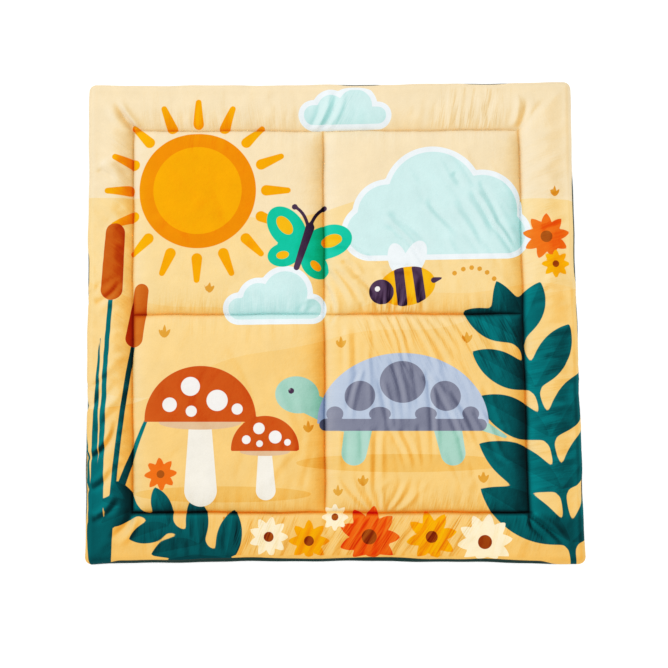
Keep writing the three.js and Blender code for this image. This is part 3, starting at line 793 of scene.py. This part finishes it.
def oval(x, y, wide, tall, turn=0.0):
    """Near an ellipse's edge, its level less 1 over the level's slope. turn is in degrees."""
    c, s = np.cos(np.radians(turn)), np.sin(np.radians(turn))
    a = ((flat_x - x) * c + (flat_y - y) * s) / wide
    b = ((flat_y - y) * c - (flat_x - x) * s) / tall
    level = np.hypot(a, b)
    slope = np.hypot(a / wide, b / tall) / np.maximum(level, 1e-6)
    return (level - 1) / np.maximum(slope, 1e-4)


def stroke(points, start, end):
    """Distance to a line through points, its half width running from start to end."""
    points = np.array(points, float)
    found = np.full(flat_x.shape, np.inf)
    steps = np.linspace(0, 1, len(points))
    for (x0, y0), (x1, y1), t0, t1 in zip(points[:-1], points[1:], steps[:-1], steps[1:]):
        dx, dy = x1 - x0, y1 - y0
        t = (((flat_x - x0) * dx + (flat_y - y0) * dy) / (dx * dx + dy * dy)).clip(0, 1)
        half = start + (end - start) * (t0 + (t1 - t0) * t)
        found = np.minimum(found, np.hypot(flat_x - x0 - t * dx, flat_y - y0 - t * dy) - half)
    return found


def leaf(x, y, length, wide, turn):
    """Distance to a pointed leaf from its foot at x, y: where two equal circles overlap."""
    along = np.array([np.cos(np.radians(turn)), np.sin(np.radians(turn))])
    half, side = length / 2, wide / 2
    radius = (half**2 + side**2) / (2 * side)
    middle = np.array([x, y]) + along * half
    aside = np.array([-along[1], along[0]]) * (radius - side)
    return np.maximum(disc(*(middle + aside), radius), disc(*(middle - aside), radius))


def below(height, waves):
    """Distance under a rolling line: its height, plus sine waves of size, length and start."""
    line = height + sum(size * np.sin(2 * np.pi * (flat_x - at) / length) for size, length, at in waves)
    return flat_y - line


def any_of(*shapes):
    """Distance to the nearest of some shapes."""
    return np.min(shapes, 0)


def grown_together(*shapes, soft=7.0):
    """Distance to the nearest of some shapes, rounded where they meet: a soft minimum."""
    return -soft * np.log(sum(np.exp(-shape.clip(-INK_FAR, INK_FAR) / soft) for shape in shapes))


def curve(start, bend, end, count=8):
    """Points of a curve from start to end, drawn towards bend."""
    t = np.linspace(0, 1, count)[:, None]
    return (1 - t) ** 2 * np.array(start) + 2 * t * (1 - t) * np.array(bend) + t**2 * np.array(end)


def spray(points, count, length, wide, spread):
    """A stem with pairs of leaves that shorten towards its tip, and the shaded half of each leaf."""
    leaves, halves = [], []

    def add_leaf(foot, size, across, turn):
        """One leaf, and its half to the right of its middle line."""
        leaves.append(leaf(*foot, size, across, turn))
        c, s = np.cos(np.radians(turn)), np.sin(np.radians(turn))
        halves.append(np.maximum(leaves[-1], (flat_y - foot[1]) * c - (flat_x - foot[0]) * s))

    for t in np.linspace(0.12, 0.88, count):
        at = t * (len(points) - 1)
        n = int(at)
        step = points[n + 1] - points[n]
        heading = np.degrees(np.arctan2(step[1], step[0]))
        for side in (1, -1):
            turn = heading + side * spread * (1 - 0.25 * t)
            add_leaf(points[n] + step * (at - n), length * (1 - 0.5 * t), wide * (1 - 0.4 * t), turn)
    step = points[-1] - points[-2]
    add_leaf(points[-2], length * 0.62, wide * 0.62, np.degrees(np.arctan2(step[1], step[0])))
    return grown_together(stroke(points, 6, 2.5), *leaves), any_of(*halves)


def flower(x, y, radius, petals, turn=0.0):
    """Pointed petals round a middle."""
    turns = turn + np.arange(petals) * 360 / petals
    return any_of(*[leaf(x, y, radius, radius * 0.44, angle) for angle in turns])


def tuft(x, y, size):
    """Three short blades of grass from one foot."""
    blades = [(58, 0.8), (90, 1), (122, 0.8)]
    return any_of(*[leaf(x, y, size * share, size * 0.26, turn) for turn, share in blades])


big_cloud = any_of(
    stroke([(76, 176), (350, 176)], 48, 43), disc(112, 212, 62), disc(204, 250, 92), disc(304, 222, 72)
)
small_cloud = any_of(stroke([(-190, 20), (-44, 20)], 22, 20), disc(-150, 40, 32), disc(-96, 52, 44))
low_cloud = any_of(stroke([(-40, 420), (92, 420)], 20, 17), disc(-4, 434, 28), disc(46, 440, 34))
clouds = any_of(big_cloud, small_cloud, low_cloud)
SUN = (-276, 262)
rays = [
    stroke([(SUN[0] + r * np.cos(a), SUN[1] + r * np.sin(a)) for r in (140, 184)], 11, 6)
    for a in np.arange(16) * np.pi / 8
]
right_leaves, right_halves = spray(curve((482, -515), (452, -230), (352, 20)), 5, 222, 88, 54)
left_leaves, left_halves = spray(curve((-196, -516), (-270, -420), (-440, -372)), 4, 120, 52, 52)
reed_blades = [
    stroke(curve((-470, -505), bend, tip), 13, 1.5)
    for bend, tip in (
        ((-486, -300), (-470, -40)), ((-430, -320), (-350, -150)), ((-500, -340), (-508, -150)),
    )
]
reed_stems = [
    stroke(curve((-462, -505), (-470, -200), (-450, 40)), 6, 4.5),
    stroke(curve((-448, -505), (-440, -260), (-404, -50)), 6, 4.5),
]
reed_heads = [stroke([(-449, 60), (-443, 176)], 22, 19), stroke([(-402, -40), (-388, 56)], 18, 15)]
shell = np.maximum(oval(140, -212, 172, 142), -212 - flat_y)
plates = np.maximum(
    any_of(
        oval(140, -128, 46, 42), oval(54, -156, 31, 30, 30), oval(226, -156, 31, 30, -30),
        oval(94, -192, 22, 14), oval(186, -192, 22, 14), oval(4, -192, 17, 15), oval(276, -192, 17, 15),
    ),
    shell + 8,
)
tortoise_skin = any_of(
    stroke([(20, -204), (-54, -168)], 23, 22), oval(-72, -154, 44, 37, -8),
    stroke([(52, -214), (42, -270)], 28, 25), stroke([(228, -214), (240, -270)], 28, 25),
    stroke([(298, -214), (346, -238)], 11, 3),
)


def toadstool(x, y, wide, tall, stem):
    """A toadstool's cap, spots, gills and stem, with the cap's middle at x, y."""
    cap = np.maximum(oval(x, y, wide, tall), y - 4 - flat_y)
    spots = [
        disc(x + a * wide, y + b * tall, c * wide)
        for a, b, c in (
            (-0.55, 0.28, 0.13), (-0.18, 0.62, 0.17), (0.3, 0.36, 0.19),
            (-0.16, 0.16, 0.1), (0.66, 0.2, 0.1),
        )
    ]
    dots = np.maximum(any_of(*spots), cap + 3)
    foot = stroke([(x, y - 8), (x + 2, y - stem)], wide * 0.2, wide * 0.29)
    return cap, dots, oval(x, y - 5, wide * 0.74, wide * 0.13), foot


caps, cap_spots, gills, feet = [
    any_of(*both) for both in zip(toadstool(-266, -204, 112, 108, 140), toadstool(-136, -262, 68, 66, 82))
]
BUTTERFLY = (-60, 146)
BUTTERFLY_TURN = -18


def on_wings(ovals):
    """Ovals on the butterfly's wings, given for the right ones: mirrored, turned and moved to its place."""
    c, s = np.cos(np.radians(BUTTERFLY_TURN)), np.sin(np.radians(BUTTERFLY_TURN))
    found = []
    for side in (-1, 1):
        for a, b, wide, tall, turn in ovals:
            x, y = BUTTERFLY[0] + side * a * c - b * s, BUTTERFLY[1] + side * a * s + b * c
            found.append(oval(x, y, wide, tall, side * turn + BUTTERFLY_TURN))
    return any_of(*found)


butterfly_wings = on_wings([(44, 26, 50, 34, 34), (33, -28, 33, 24, -28)])
butterfly_spots = on_wings([(50, 30, 22, 13, 34), (35, -29, 13, 8, -28)])
butterfly_body = any_of(
    stroke([(-47, 186), (-74, 104)], 9, 6),
    stroke(curve((-48, 182), (-40, 214), (-18, 226)), 3.4, 3.2), disc(-18, 226, 6),
    stroke(curve((-50, 182), (-56, 218), (-78, 228)), 3.4, 3.2), disc(-78, 228, 6),
)
bee = oval(150, 66, 58, 39, 12)
bee_stripes = np.maximum(
    any_of(stroke([(132, 108), (142, 20)], 10, 10), stroke([(168, 112), (180, 26)], 10, 10)), bee
)
bee_head = any_of(disc(98, 54, 25), stroke([(204, 78), (222, 83)], 6, 1))
bee_wings = any_of(oval(166, 122, 21, 39, -24), oval(131, 119, 19, 35, 14))
trail = [disc(x, y, 5) for x, y in curve((246, 92), (310, 130), (352, 40), 8)]
tufts = [
    tuft(*place)
    for place in [
        (-340, -40, 28), (16, -60, 26), (270, -50, 26), (-50, -230, 26), (60, -336, 26),
        (10, -356, 24), (-210, -412, 24), (452, 250, 24), (300, -330, 26), (-250, 52, 24),
    ]
]
FLOWERS = [  # ink of the petals, place, size, number of petals, turn, and size of the middle
    ("orange", 72, -436, 62, 9, 0, 15), ("orange", 434, 168, 48, 9, 10, 12),
    ("orange", -344, -312, 34, 8, 5, 8), ("yellow", 196, -436, 52, 8, 12, 12),
    ("yellow", -48, -444, 42, 8, 0, 10), ("yellow", 452, 112, 30, 8, 0, 7),
    ("cream", 302, -446, 56, 10, 6, 14), ("cream", -128, -436, 40, 9, 0, 10),
    ("cream", 4, -398, 28, 8, 0, 7),
]
petals = {
    ink: any_of(*[flower(*row[1:6]) for row in FLOWERS if row[0] == ink])
    for ink in ("orange", "yellow", "cream")
}
flower_hearts = any_of(*[disc(row[1], row[2], row[6]) for row in FLOWERS])

SAND = (247, 216, 152)
sky = -below(236, [(24, 820, 60), (10, 410, 0)])
far_hill = np.maximum(
    below(34, [(34, 900, 120), (12, 330, 40)]), -below(-128, [(26, 760, -240), (8, 300, 0)])
)
near_hill = below(-60, [(120, 2600, -40), (22, 760, -330), (7, 300, 0)])
INKS = [  # in the order they are printed: name, colour as printed, and distance
    ("sky", (245, 224, 184), sky),
    ("far_hill", (247, 211, 140), far_hill),
    ("near_hill", (246, 205, 126), near_hill),
    ("ground_shade", (242, 192, 100), any_of(oval(140, -290, 214, 18), oval(-220, -352, 176, 16))),
    ("cloud_rim", (238, 244, 246), clouds - 11),
    ("cloud", (207, 236, 234), clouds),
    ("sun_rays", (245, 168, 0), any_of(*rays)),
    ("sun", (238, 140, 0), disc(*SUN, 119)),
    ("sun_middle", (245, 168, 0), disc(*SUN, 90)),
    ("tufts", (226, 160, 52), any_of(*tufts, *trail)),
    ("leaves", (0, 102, 106), any_of(right_leaves, left_leaves, *reed_blades, *reed_stems)),
    ("leaf_halves", (0, 90, 94), any_of(right_halves, left_halves)),
    ("reed_heads", (200, 90, 16), any_of(*reed_heads)),
    ("tortoise_skin", (169, 211, 195), tortoise_skin),
    ("shell", (185, 198, 218), shell),
    ("shell_plates", (127, 130, 150), any_of(plates, stroke([(-16, -214), (296, -214)], 12, 12))),
    ("toadstool_feet", (243, 238, 226), feet),
    ("gills", (226, 190, 150), gills),
    ("caps", (206, 84, 20), caps),
    ("butterfly_wings", (16, 196, 160), butterfly_wings),
    ("bee_wings", (238, 244, 246), bee_wings),
    ("bee", (245, 184, 16), any_of(bee, butterfly_spots)),
    ("plum", (76, 53, 80), any_of(bee_stripes, bee_head, butterfly_body, disc(-84, -146, 6))),
    ("orange_petals", (238, 110, 20), petals["orange"]),
    ("yellow_petals", (247, 178, 0), petals["yellow"]),
    ("cream_petals", (253, 240, 208), petals["cream"]),
    ("hearts", (168, 80, 16), flower_hearts),
    ("white", (243, 240, 236), any_of(cap_spots, disc(90, 60, 5.5), disc(-86, -143, 2.2))),
]
for name, _, distance in INKS:
    point_values(printed_top, "ink_" + name, distance.clip(-INK_FAR, INK_FAR), INK_FAR)


def linear(colour):
    """A printed colour from 0 to 255 as the linear colour that a shader reads."""
    share = np.array(colour) / 255
    return (*np.where(share > 0.04045, ((share + 0.055) / 1.055) ** 2.4, share / 12.92), 1.0)


def plain_material(name, values):
    """A material of one shader, with values for its inputs by name. Its tree and shader come too."""
    material = bpy.data.materials.new(name)
    material.use_nodes = True
    shader = material.node_tree.nodes["Principled BSDF"]
    for socket, value in values.items():
        shader.inputs[socket].default_value = value
    return material, material.node_tree, shader


def feed(tree, socket, value):
    """Set an input to a value, or link it to another node's output."""
    if isinstance(value, bpy.types.NodeSocket):
        tree.links.new(value, socket)
    else:
        socket.default_value = value


def node(tree, kind, **values):
    """A new node, with its settings and its inputs by name."""
    made = tree.nodes.new(kind)
    for name, value in values.items():
        if name in made.inputs:
            feed(tree, made.inputs[name], value)
        else:
            setattr(made, name, value)
    return made


def blended(tree, kind, share, first, second):
    """A colour mix of that kind."""
    mix = node(tree, "ShaderNodeMix", data_type="RGBA", blend_type=kind)
    sockets = [mix.inputs["Factor"], *[s for s in mix.inputs if s.type == "RGBA"]]
    for socket, value in zip(sockets, (share, first, second)):
        feed(tree, socket, value)
    return next(s for s in mix.outputs if s.type == "RGBA")


def maths(tree, operation, first, second=0.0):
    """Result of a math node."""
    made = node(tree, "ShaderNodeMath", operation=operation)
    for socket, value in zip(made.inputs, (first, second)):
        feed(tree, socket, value)
    return made.outputs["Value"]


def stored(tree, name):
    """A value stored at the piece's points."""
    return node(tree, "ShaderNodeAttribute", attribute_name=name).outputs["Fac"]


def own_place(tree):
    """The place in the object, in metres."""
    return node(tree, "ShaderNodeTexCoord").outputs["Object"]


def noise(tree, place, scale, detail, roughness, **settings):
    """A noise at a place. scale is in features for each unit of the place."""
    shape = {"Scale": scale, "Detail": detail, "Roughness": roughness}
    return node(tree, "ShaderNodeTexNoise", Vector=place, **shape, **settings).outputs["Fac"]


def ranged(tree, value, low, high, first=0.0, last=1.0, **settings):
    """A value's run from low to high, turned into a run from first to last and held at its ends."""
    limits = {"From Min": low, "From Max": high, "To Min": first, "To Max": last}
    return node(tree, "ShaderNodeMapRange", Value=value, **limits, **settings).outputs["Result"]


def bumped(tree, height, strength, distance, below=None):
    """The normal of a height times distance in metres, on top of the normal below."""
    bump = node(tree, "ShaderNodeBump", Height=height, Strength=strength, Distance=distance)
    if below is not None:
        tree.links.new(below, bump.inputs["Normal"])
    return bump.outputs["Normal"]


WAVE_TURN = 20.0  # radians of the wave node's wave for each unit of its scaled place


def weave_height(tree, thread):
    """Height of a plain weave on the piece's own map: the product of a wave along each thread.

    thread is the length of cloth for each radian of the wave, in millimetres.
    """
    flat = node(tree, "ShaderNodeUVMap", uv_map="OFBake").outputs["UV"]
    scale = MAP_SPAN / thread / WAVE_TURN
    waves = [
        node(tree, "ShaderNodeTexWave", Vector=flat, bands_direction=axis, Scale=scale, Distortion=0.6)
        for axis in ("X", "Y")
    ]
    return maths(tree, "MULTIPLY", *[wave.outputs["Fac"] for wave in waves])


CLOTH_SHEEN = {"Sheen Weight": 0.04, "Sheen Roughness": 0.4}
INK_EDGE = 0.4  # half the width over which an ink's edge is blurred

printed_cloth, tree, shader = plain_material(
    "printed_cloth", {"Roughness": 0.85, "Specular IOR Level": 0.06, **CLOTH_SHEEN}
)
colour = linear(SAND)
for name, ink, _ in INKS:
    inked = ranged(tree, stored(tree, "ink_" + name), INK_EDGE, -INK_EDGE, interpolation_type="SMOOTHSTEP")
    colour = blended(tree, "MIX", inked, colour, linear(ink))
place = own_place(tree)
mottle = noise(tree, place, 26.0, 5.0, 0.6)
fuzz = noise(tree, place, 420.0, 3.0, 0.65)
crinkle = noise(tree, place, 95.0, 4.0, 0.55)
# Both noises darken and lighten the colour by a few hundredths.
colour = blended(tree, "MULTIPLY", 1.0, colour, ranged(tree, mottle, 0.3, 0.7, 0.955, 1.02))
colour = blended(tree, "MULTIPLY", 1.0, colour, ranged(tree, fuzz, 0.25, 0.75, 0.97, 1.03))

# Fine pleats between the gathers: the rise on both sides of a noise's middle value, so that its
# valleys are sharp. The noise is short along the seam and long away from it.
PLEAT_PITCH, PLEAT_LENGTH, PLEAT_DEPTH = 9.0, 60.0, 0.0016
NOISE_MIDDLE = 0.5
pleated = 0.0
for family in ("along", "across"):
    at, above, deep = [stored(tree, f"pleat_{name}_{family}") for name in ("at", "above", "deep")]
    x, y = maths(tree, "DIVIDE", at, PLEAT_PITCH), maths(tree, "DIVIDE", above, PLEAT_LENGTH)
    spot = node(tree, "ShaderNodeCombineXYZ", X=x, Y=y).outputs["Vector"]
    wave = noise(tree, spot, 1.0, 1.0, 0.45, noise_dimensions="2D")
    rise = maths(tree, "ABSOLUTE", maths(tree, "SUBTRACT", wave, NOISE_MIDDLE))
    pleated = maths(tree, "ADD", maths(tree, "MULTIPLY", rise, deep), pleated)
soft = bumped(tree, crinkle, 0.35, 0.0012)
fine = bumped(tree, pleated, 1.0, PLEAT_DEPTH / NOISE_MIDDLE, soft)
woven = bumped(tree, weave_height(tree, 0.7), 0.25, 0.0002, fine)
tree.links.new(woven, shader.inputs["Normal"])

# Painted shade and light: the colour's gamma is 1, more by a large share of how far the cloth is turned
# to the front right, away from the window, less by a small share of how far to the back left, towards it,
# and more again by the painted shade in the seams' grooves and the front border.
SHADE_GAMMA, LIGHT_GAMMA, GAMMA_MOST = 1.9, 0.6, 3.8
turned = node(tree, "ShaderNodeVectorMath", operation="DOT_PRODUCT")
feed(tree, turned.inputs[0], fine)
feed(tree, turned.inputs[1], SLOPE_SHADE_WAY)
falling, rising = [maths(tree, "MULTIPLY", turned.outputs["Value"], share) for share in (SHADE_GAMMA, LIGHT_GAMMA)]
slope = maths(tree, "MULTIPLY", maths(tree, "MAXIMUM", falling, rising), stored(tree, "slope_shade_share"))
gamma = maths(tree, "ADD", maths(tree, "ADD", slope, 1.0), stored(tree, "painted_shade"))
gamma = maths(tree, "MINIMUM", gamma, GAMMA_MOST)
with_painted_shade = node(tree, "ShaderNodeGamma", Color=colour, Gamma=gamma).outputs["Color"]
tree.links.new(with_painted_shade, shader.inputs["Base Color"])
printed_top.data.materials.append(printed_cloth)

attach(printed_top, "root")
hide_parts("printed_top")

# The back cloth. A plain dark green square that lies on the floor, drawn up a little under each seam,
# and turned up round the rim to the seam where it is sewn to the top.
BACK_STEP = 11.0
BACK_RINGS = 7
BACK_LIFT, CHANNEL_HALF = 2.0, 16.0  # height and half width of the channel under a seam
BACK_TURN = np.radians(135)  # of the cloth round the roll, as its own map shows it


def back_face(grid, inset):
    """The back cloth's outer face moved in by inset: flat, raised under the seams, rolled at the rim."""
    lift = BACK_LIFT * (1 - eased(seam_distance(grid.x, grid.y) / CHANNEL_HALF)) + inset
    seam = rim_seam_angle(grid) - CLOTH_GAP / RIM_RADIUS
    angle = -np.pi / 2 + (seam + np.pi / 2) * grid.ring
    rim = rolled(grid, angle, RIM_RADIUS - inset, RIM_CROWN - inset, inset)
    flat = np.dstack([grid.x, grid.y, lift])
    return np.where(grid.ring[..., None] > 0, rim, flat)


back_grid = lay_out(BACK_STEP, (CHANNEL_HALF / 4, CHANNEL_HALF / 2, CHANNEL_HALF), BACK_RINGS)
rows, columns = back_grid.x.shape
outer_face, inner_face = back_face(back_grid, 0.0), back_face(back_grid, BACK_CLOTH)
outer_rim = rim_loop(np.arange(rows * columns).reshape(rows, columns))
back_faces = np.concatenate(
    [
        grid_faces(rows, columns)[:, ::-1],
        grid_faces(rows, columns, rows * columns),
        strip_faces(outer_rim, outer_rim + rows * columns),
    ]
)
back_points = np.concatenate([outer_face.reshape(-1, 3), inner_face.reshape(-1, 3)])
back_cloth = new_piece("back_cloth", back_points, back_faces.tolist())
back_map = np.stack(unrolled(back_grid, BACK_TURN), -1).reshape(-1, 2) / MAP_SPAN
bake_map(back_cloth, np.concatenate([back_map + MAP_MIDDLE, back_map * UNDER_MAP_SHARE + UNDER_MAP_CORNER]))

green_cloth, tree, shader = plain_material(
    "back_cloth", {"Roughness": 0.78, "Specular IOR Level": 0.12, **CLOTH_SHEEN}
)
place = own_place(tree)
mottle = noise(tree, place, 60.0, 5.0, 0.6)
shade = blended(tree, "MIX", mottle, linear((4, 36, 32)), linear((14, 56, 48)))
soft = bumped(tree, noise(tree, place, 16.0, 5.0, 0.5, Distortion=0.8), 0.5, 0.004)
woven = bumped(tree, weave_height(tree, 0.9), 0.4, 0.0003, soft)
tree.links.new(shade, shader.inputs["Base Color"])
tree.links.new(woven, shader.inputs["Normal"])
back_cloth.data.materials.append(green_cloth)

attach(back_cloth, "root")
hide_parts("plain_back")

# The sewing thread. One row of lockstitch along each seam of the frame and the cross, sunk in its
# channel: clear on the print, so that it takes the colour beneath and the groove's painted shade, and
# dark green underneath.
STITCH, STITCH_GAP, THREAD_HALF = 3.6, 0.9, 0.25  # length of a stitch, space between, half its width
STITCH_SUNK = 0.3  # how far its ends are below its middle
STITCH_TAPER = 0.06  # share of a half sine wave that is cut off at each of its ends
STITCH_RINGS = 5
STITCH_SIDES = 6
TOP_THREAD_AT, BACK_THREAD_AT = SEAM_TOP + 0.05, BACK_LIFT - 0.1  # heights of the stitches' middles


def seam_routes():
    """Plan points along each seam, an even step apart: the two long ways of the frame and the cross."""
    routes = []
    for lines, others in ((ACROSS, ALONG), (ALONG, ACROSS)):
        for n in (1, 2, 3):
            start, end = [at_line(others, other, at_line(lines, n, 0.0)) for other in (1, 3)]
            along = np.arange(start + STITCH_GAP, end - STITCH, STITCH + STITCH_GAP)
            place = at_line(lines, n, along + STITCH / 2)
            lean = (at_line(lines, n, along + STITCH) - at_line(lines, n, along)) / STITCH
            pairs = (place, along + STITCH / 2) if lines is ACROSS else (along + STITCH / 2, place)
            ways = (lean, np.ones_like(lean)) if lines is ACROSS else (np.ones_like(lean), lean)
            routes.append(np.stack([*pairs, *ways], -1))
    return np.concatenate(routes)


def stitches(routes, height):
    """A round stitch at each place along a seam: its height and its half width are half sine waves."""
    t = np.linspace(0, 1, STITCH_RINGS)
    turn = np.arange(STITCH_SIDES) * 2 * np.pi / STITCH_SIDES
    along = (t - 0.5) * STITCH
    half = THREAD_HALF * np.sqrt(np.sin(np.pi * (STITCH_TAPER + (1 - 2 * STITCH_TAPER) * t)))
    side = half[:, None] * np.cos(turn)
    up = height + STITCH_SUNK * (np.sin(np.pi * t)[:, None] - 1) + half[:, None] * np.sin(turn)
    way = routes[:, 2:] / np.linalg.norm(routes[:, 2:], axis=1, keepdims=True)
    across = np.stack([-way[:, 1], way[:, 0]], -1)
    flat = (
        routes[:, None, None, :2]
        + way[:, None, None] * along[None, :, None, None]
        + across[:, None, None] * side[None, :, :, None]
    )
    points = np.concatenate([flat, np.broadcast_to(up[None, ..., None], (*flat.shape[:3], 1))], -1)
    ring = np.arange(STITCH_SIDES)
    near = ring[None] + np.arange(STITCH_RINGS - 1)[:, None] * STITCH_SIDES
    beside = np.roll(near, -1, axis=1)
    tube = np.stack([near, beside, beside + STITCH_SIDES, near + STITCH_SIDES], -1).reshape(-1, 4)
    size = STITCH_RINGS * STITCH_SIDES
    first = np.arange(len(routes))[:, None, None] * size
    ends = np.stack([ring[::-1], ring + size - STITCH_SIDES])
    tubes, tips = (tube[None] + first).reshape(-1, 4), (ends[None] + first).reshape(-1, STITCH_SIDES)
    return points.reshape(-1, 3), tubes.tolist() + tips.tolist()


def coloured_beneath(thread, routes):
    """Give each stitch the printed top's values at the nearest point of the seams, painted shade included,
    without the painted slope shade.
    """
    seams = np.flatnonzero(stitched_down(top_grid) & (top_grid.ring == 0))
    places = np.stack([top_grid.x.ravel()[seams], top_grid.y.ravel()[seams]])
    nearest = seams[np.argmin(np.hypot(*(routes[:, :2].T[:, :, None] - places[:, None])), 1)]
    every = np.zeros(len(printed_top.data.vertices), np.float32)
    for given in printed_top.data.attributes:
        if given.domain == "POINT" and given.data_type == "FLOAT" and given.name != "slope_shade_share":
            given.data.foreach_get("value", every)
            point_values(thread, given.name, np.repeat(every[nearest], STITCH_RINGS * STITCH_SIDES))


routes = seam_routes()
top_stitching = new_piece("top_stitching", *stitches(routes, TOP_THREAD_AT))
coloured_beneath(top_stitching, routes)
top_stitching.data.materials.append(printed_cloth)
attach(top_stitching, "root")

green_thread, tree, shader = plain_material("green_thread", {"Roughness": 0.6})
twist = noise(tree, own_place(tree), 900.0, 2.0, 0.5)
shade = blended(tree, "MIX", twist, linear((8, 44, 40)), linear((26, 78, 70)))
tree.links.new(shade, shader.inputs["Base Color"])
back_stitching = new_piece("back_stitching", *stitches(routes, BACK_THREAD_AT))
back_stitching.data.materials.append(green_thread)
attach(back_stitching, "root")

# The studio. A wide pale floor, a soft window light from the back left, a wide light from above and
# pale light all round, with the camera above the mat, a little to its front.
FLOOR_HALF, FLOOR_DROP = 6000.0, 0.4  # the floor is a little below the mat, so that no faces meet
PALE, WHITE = (0.95, 0.95, 0.95, 1.0), (1.0, 1.0, 1.0, 1.0)

floor_corners = np.array([(-1, -1, -1), (1, -1, -1), (1, 1, -1), (-1, 1, -1)])
floor = new_piece("floor", floor_corners * (FLOOR_HALF, FLOOR_HALF, FLOOR_DROP), [(0, 1, 2, 3)])
floor_paint, tree, shader = plain_material(
    "floor_paint",
    {"Base Color": PALE, "Roughness": 0.9, "Emission Color": WHITE, "Emission Strength": 0.32},
)
floor.data.materials.append(floor_paint)


def soft_light(name, place, size, power):
    """A square area light at a place in metres, turned to the mat's middle."""
    light = bpy.data.lights.new(name, "AREA")
    light.size, light.energy = size, power
    lamp = bpy.data.objects.new(name, light)
    lamp.location = place
    lamp.rotation_euler = (-Vector(place)).to_track_quat("-Z", "Y").to_euler()
    bpy.context.scene.collection.objects.link(lamp)


soft_light("window_light", (-2.3, 2.0, 1.8), 1.6, 22.0)
soft_light("room_light", (0.6, -0.4, 3.6), 3.0, 56.0)
world = bpy.data.worlds.new("studio")
bpy.context.scene.world = world
world.use_nodes = True
background = world.node_tree.nodes["Background"]
background.inputs["Color"].default_value = WHITE
background.inputs["Strength"].default_value = 0.62
bpy.context.scene.view_settings.view_transform = "Standard"

CAMERA_AWAY = 2.2
CAMERA_TILT = np.radians(85.4)
CAMERA_AIM = Vector((0.002, -0.031, 0.02))
camera = bpy.data.cameras.new("camera")
camera.lens, camera.sensor_width, camera.sensor_fit = 58.65, 36.0, "HORIZONTAL"
camera_stand = bpy.data.objects.new("camera", camera)
camera_stand.location = CAMERA_AIM + CAMERA_AWAY * Vector((0.0, -np.cos(CAMERA_TILT), np.sin(CAMERA_TILT)))
camera_stand.rotation_euler = (np.pi / 2 - CAMERA_TILT, 0.0, 0.0)
bpy.context.scene.collection.objects.link(camera_stand)
bpy.context.scene.camera = camera_stand
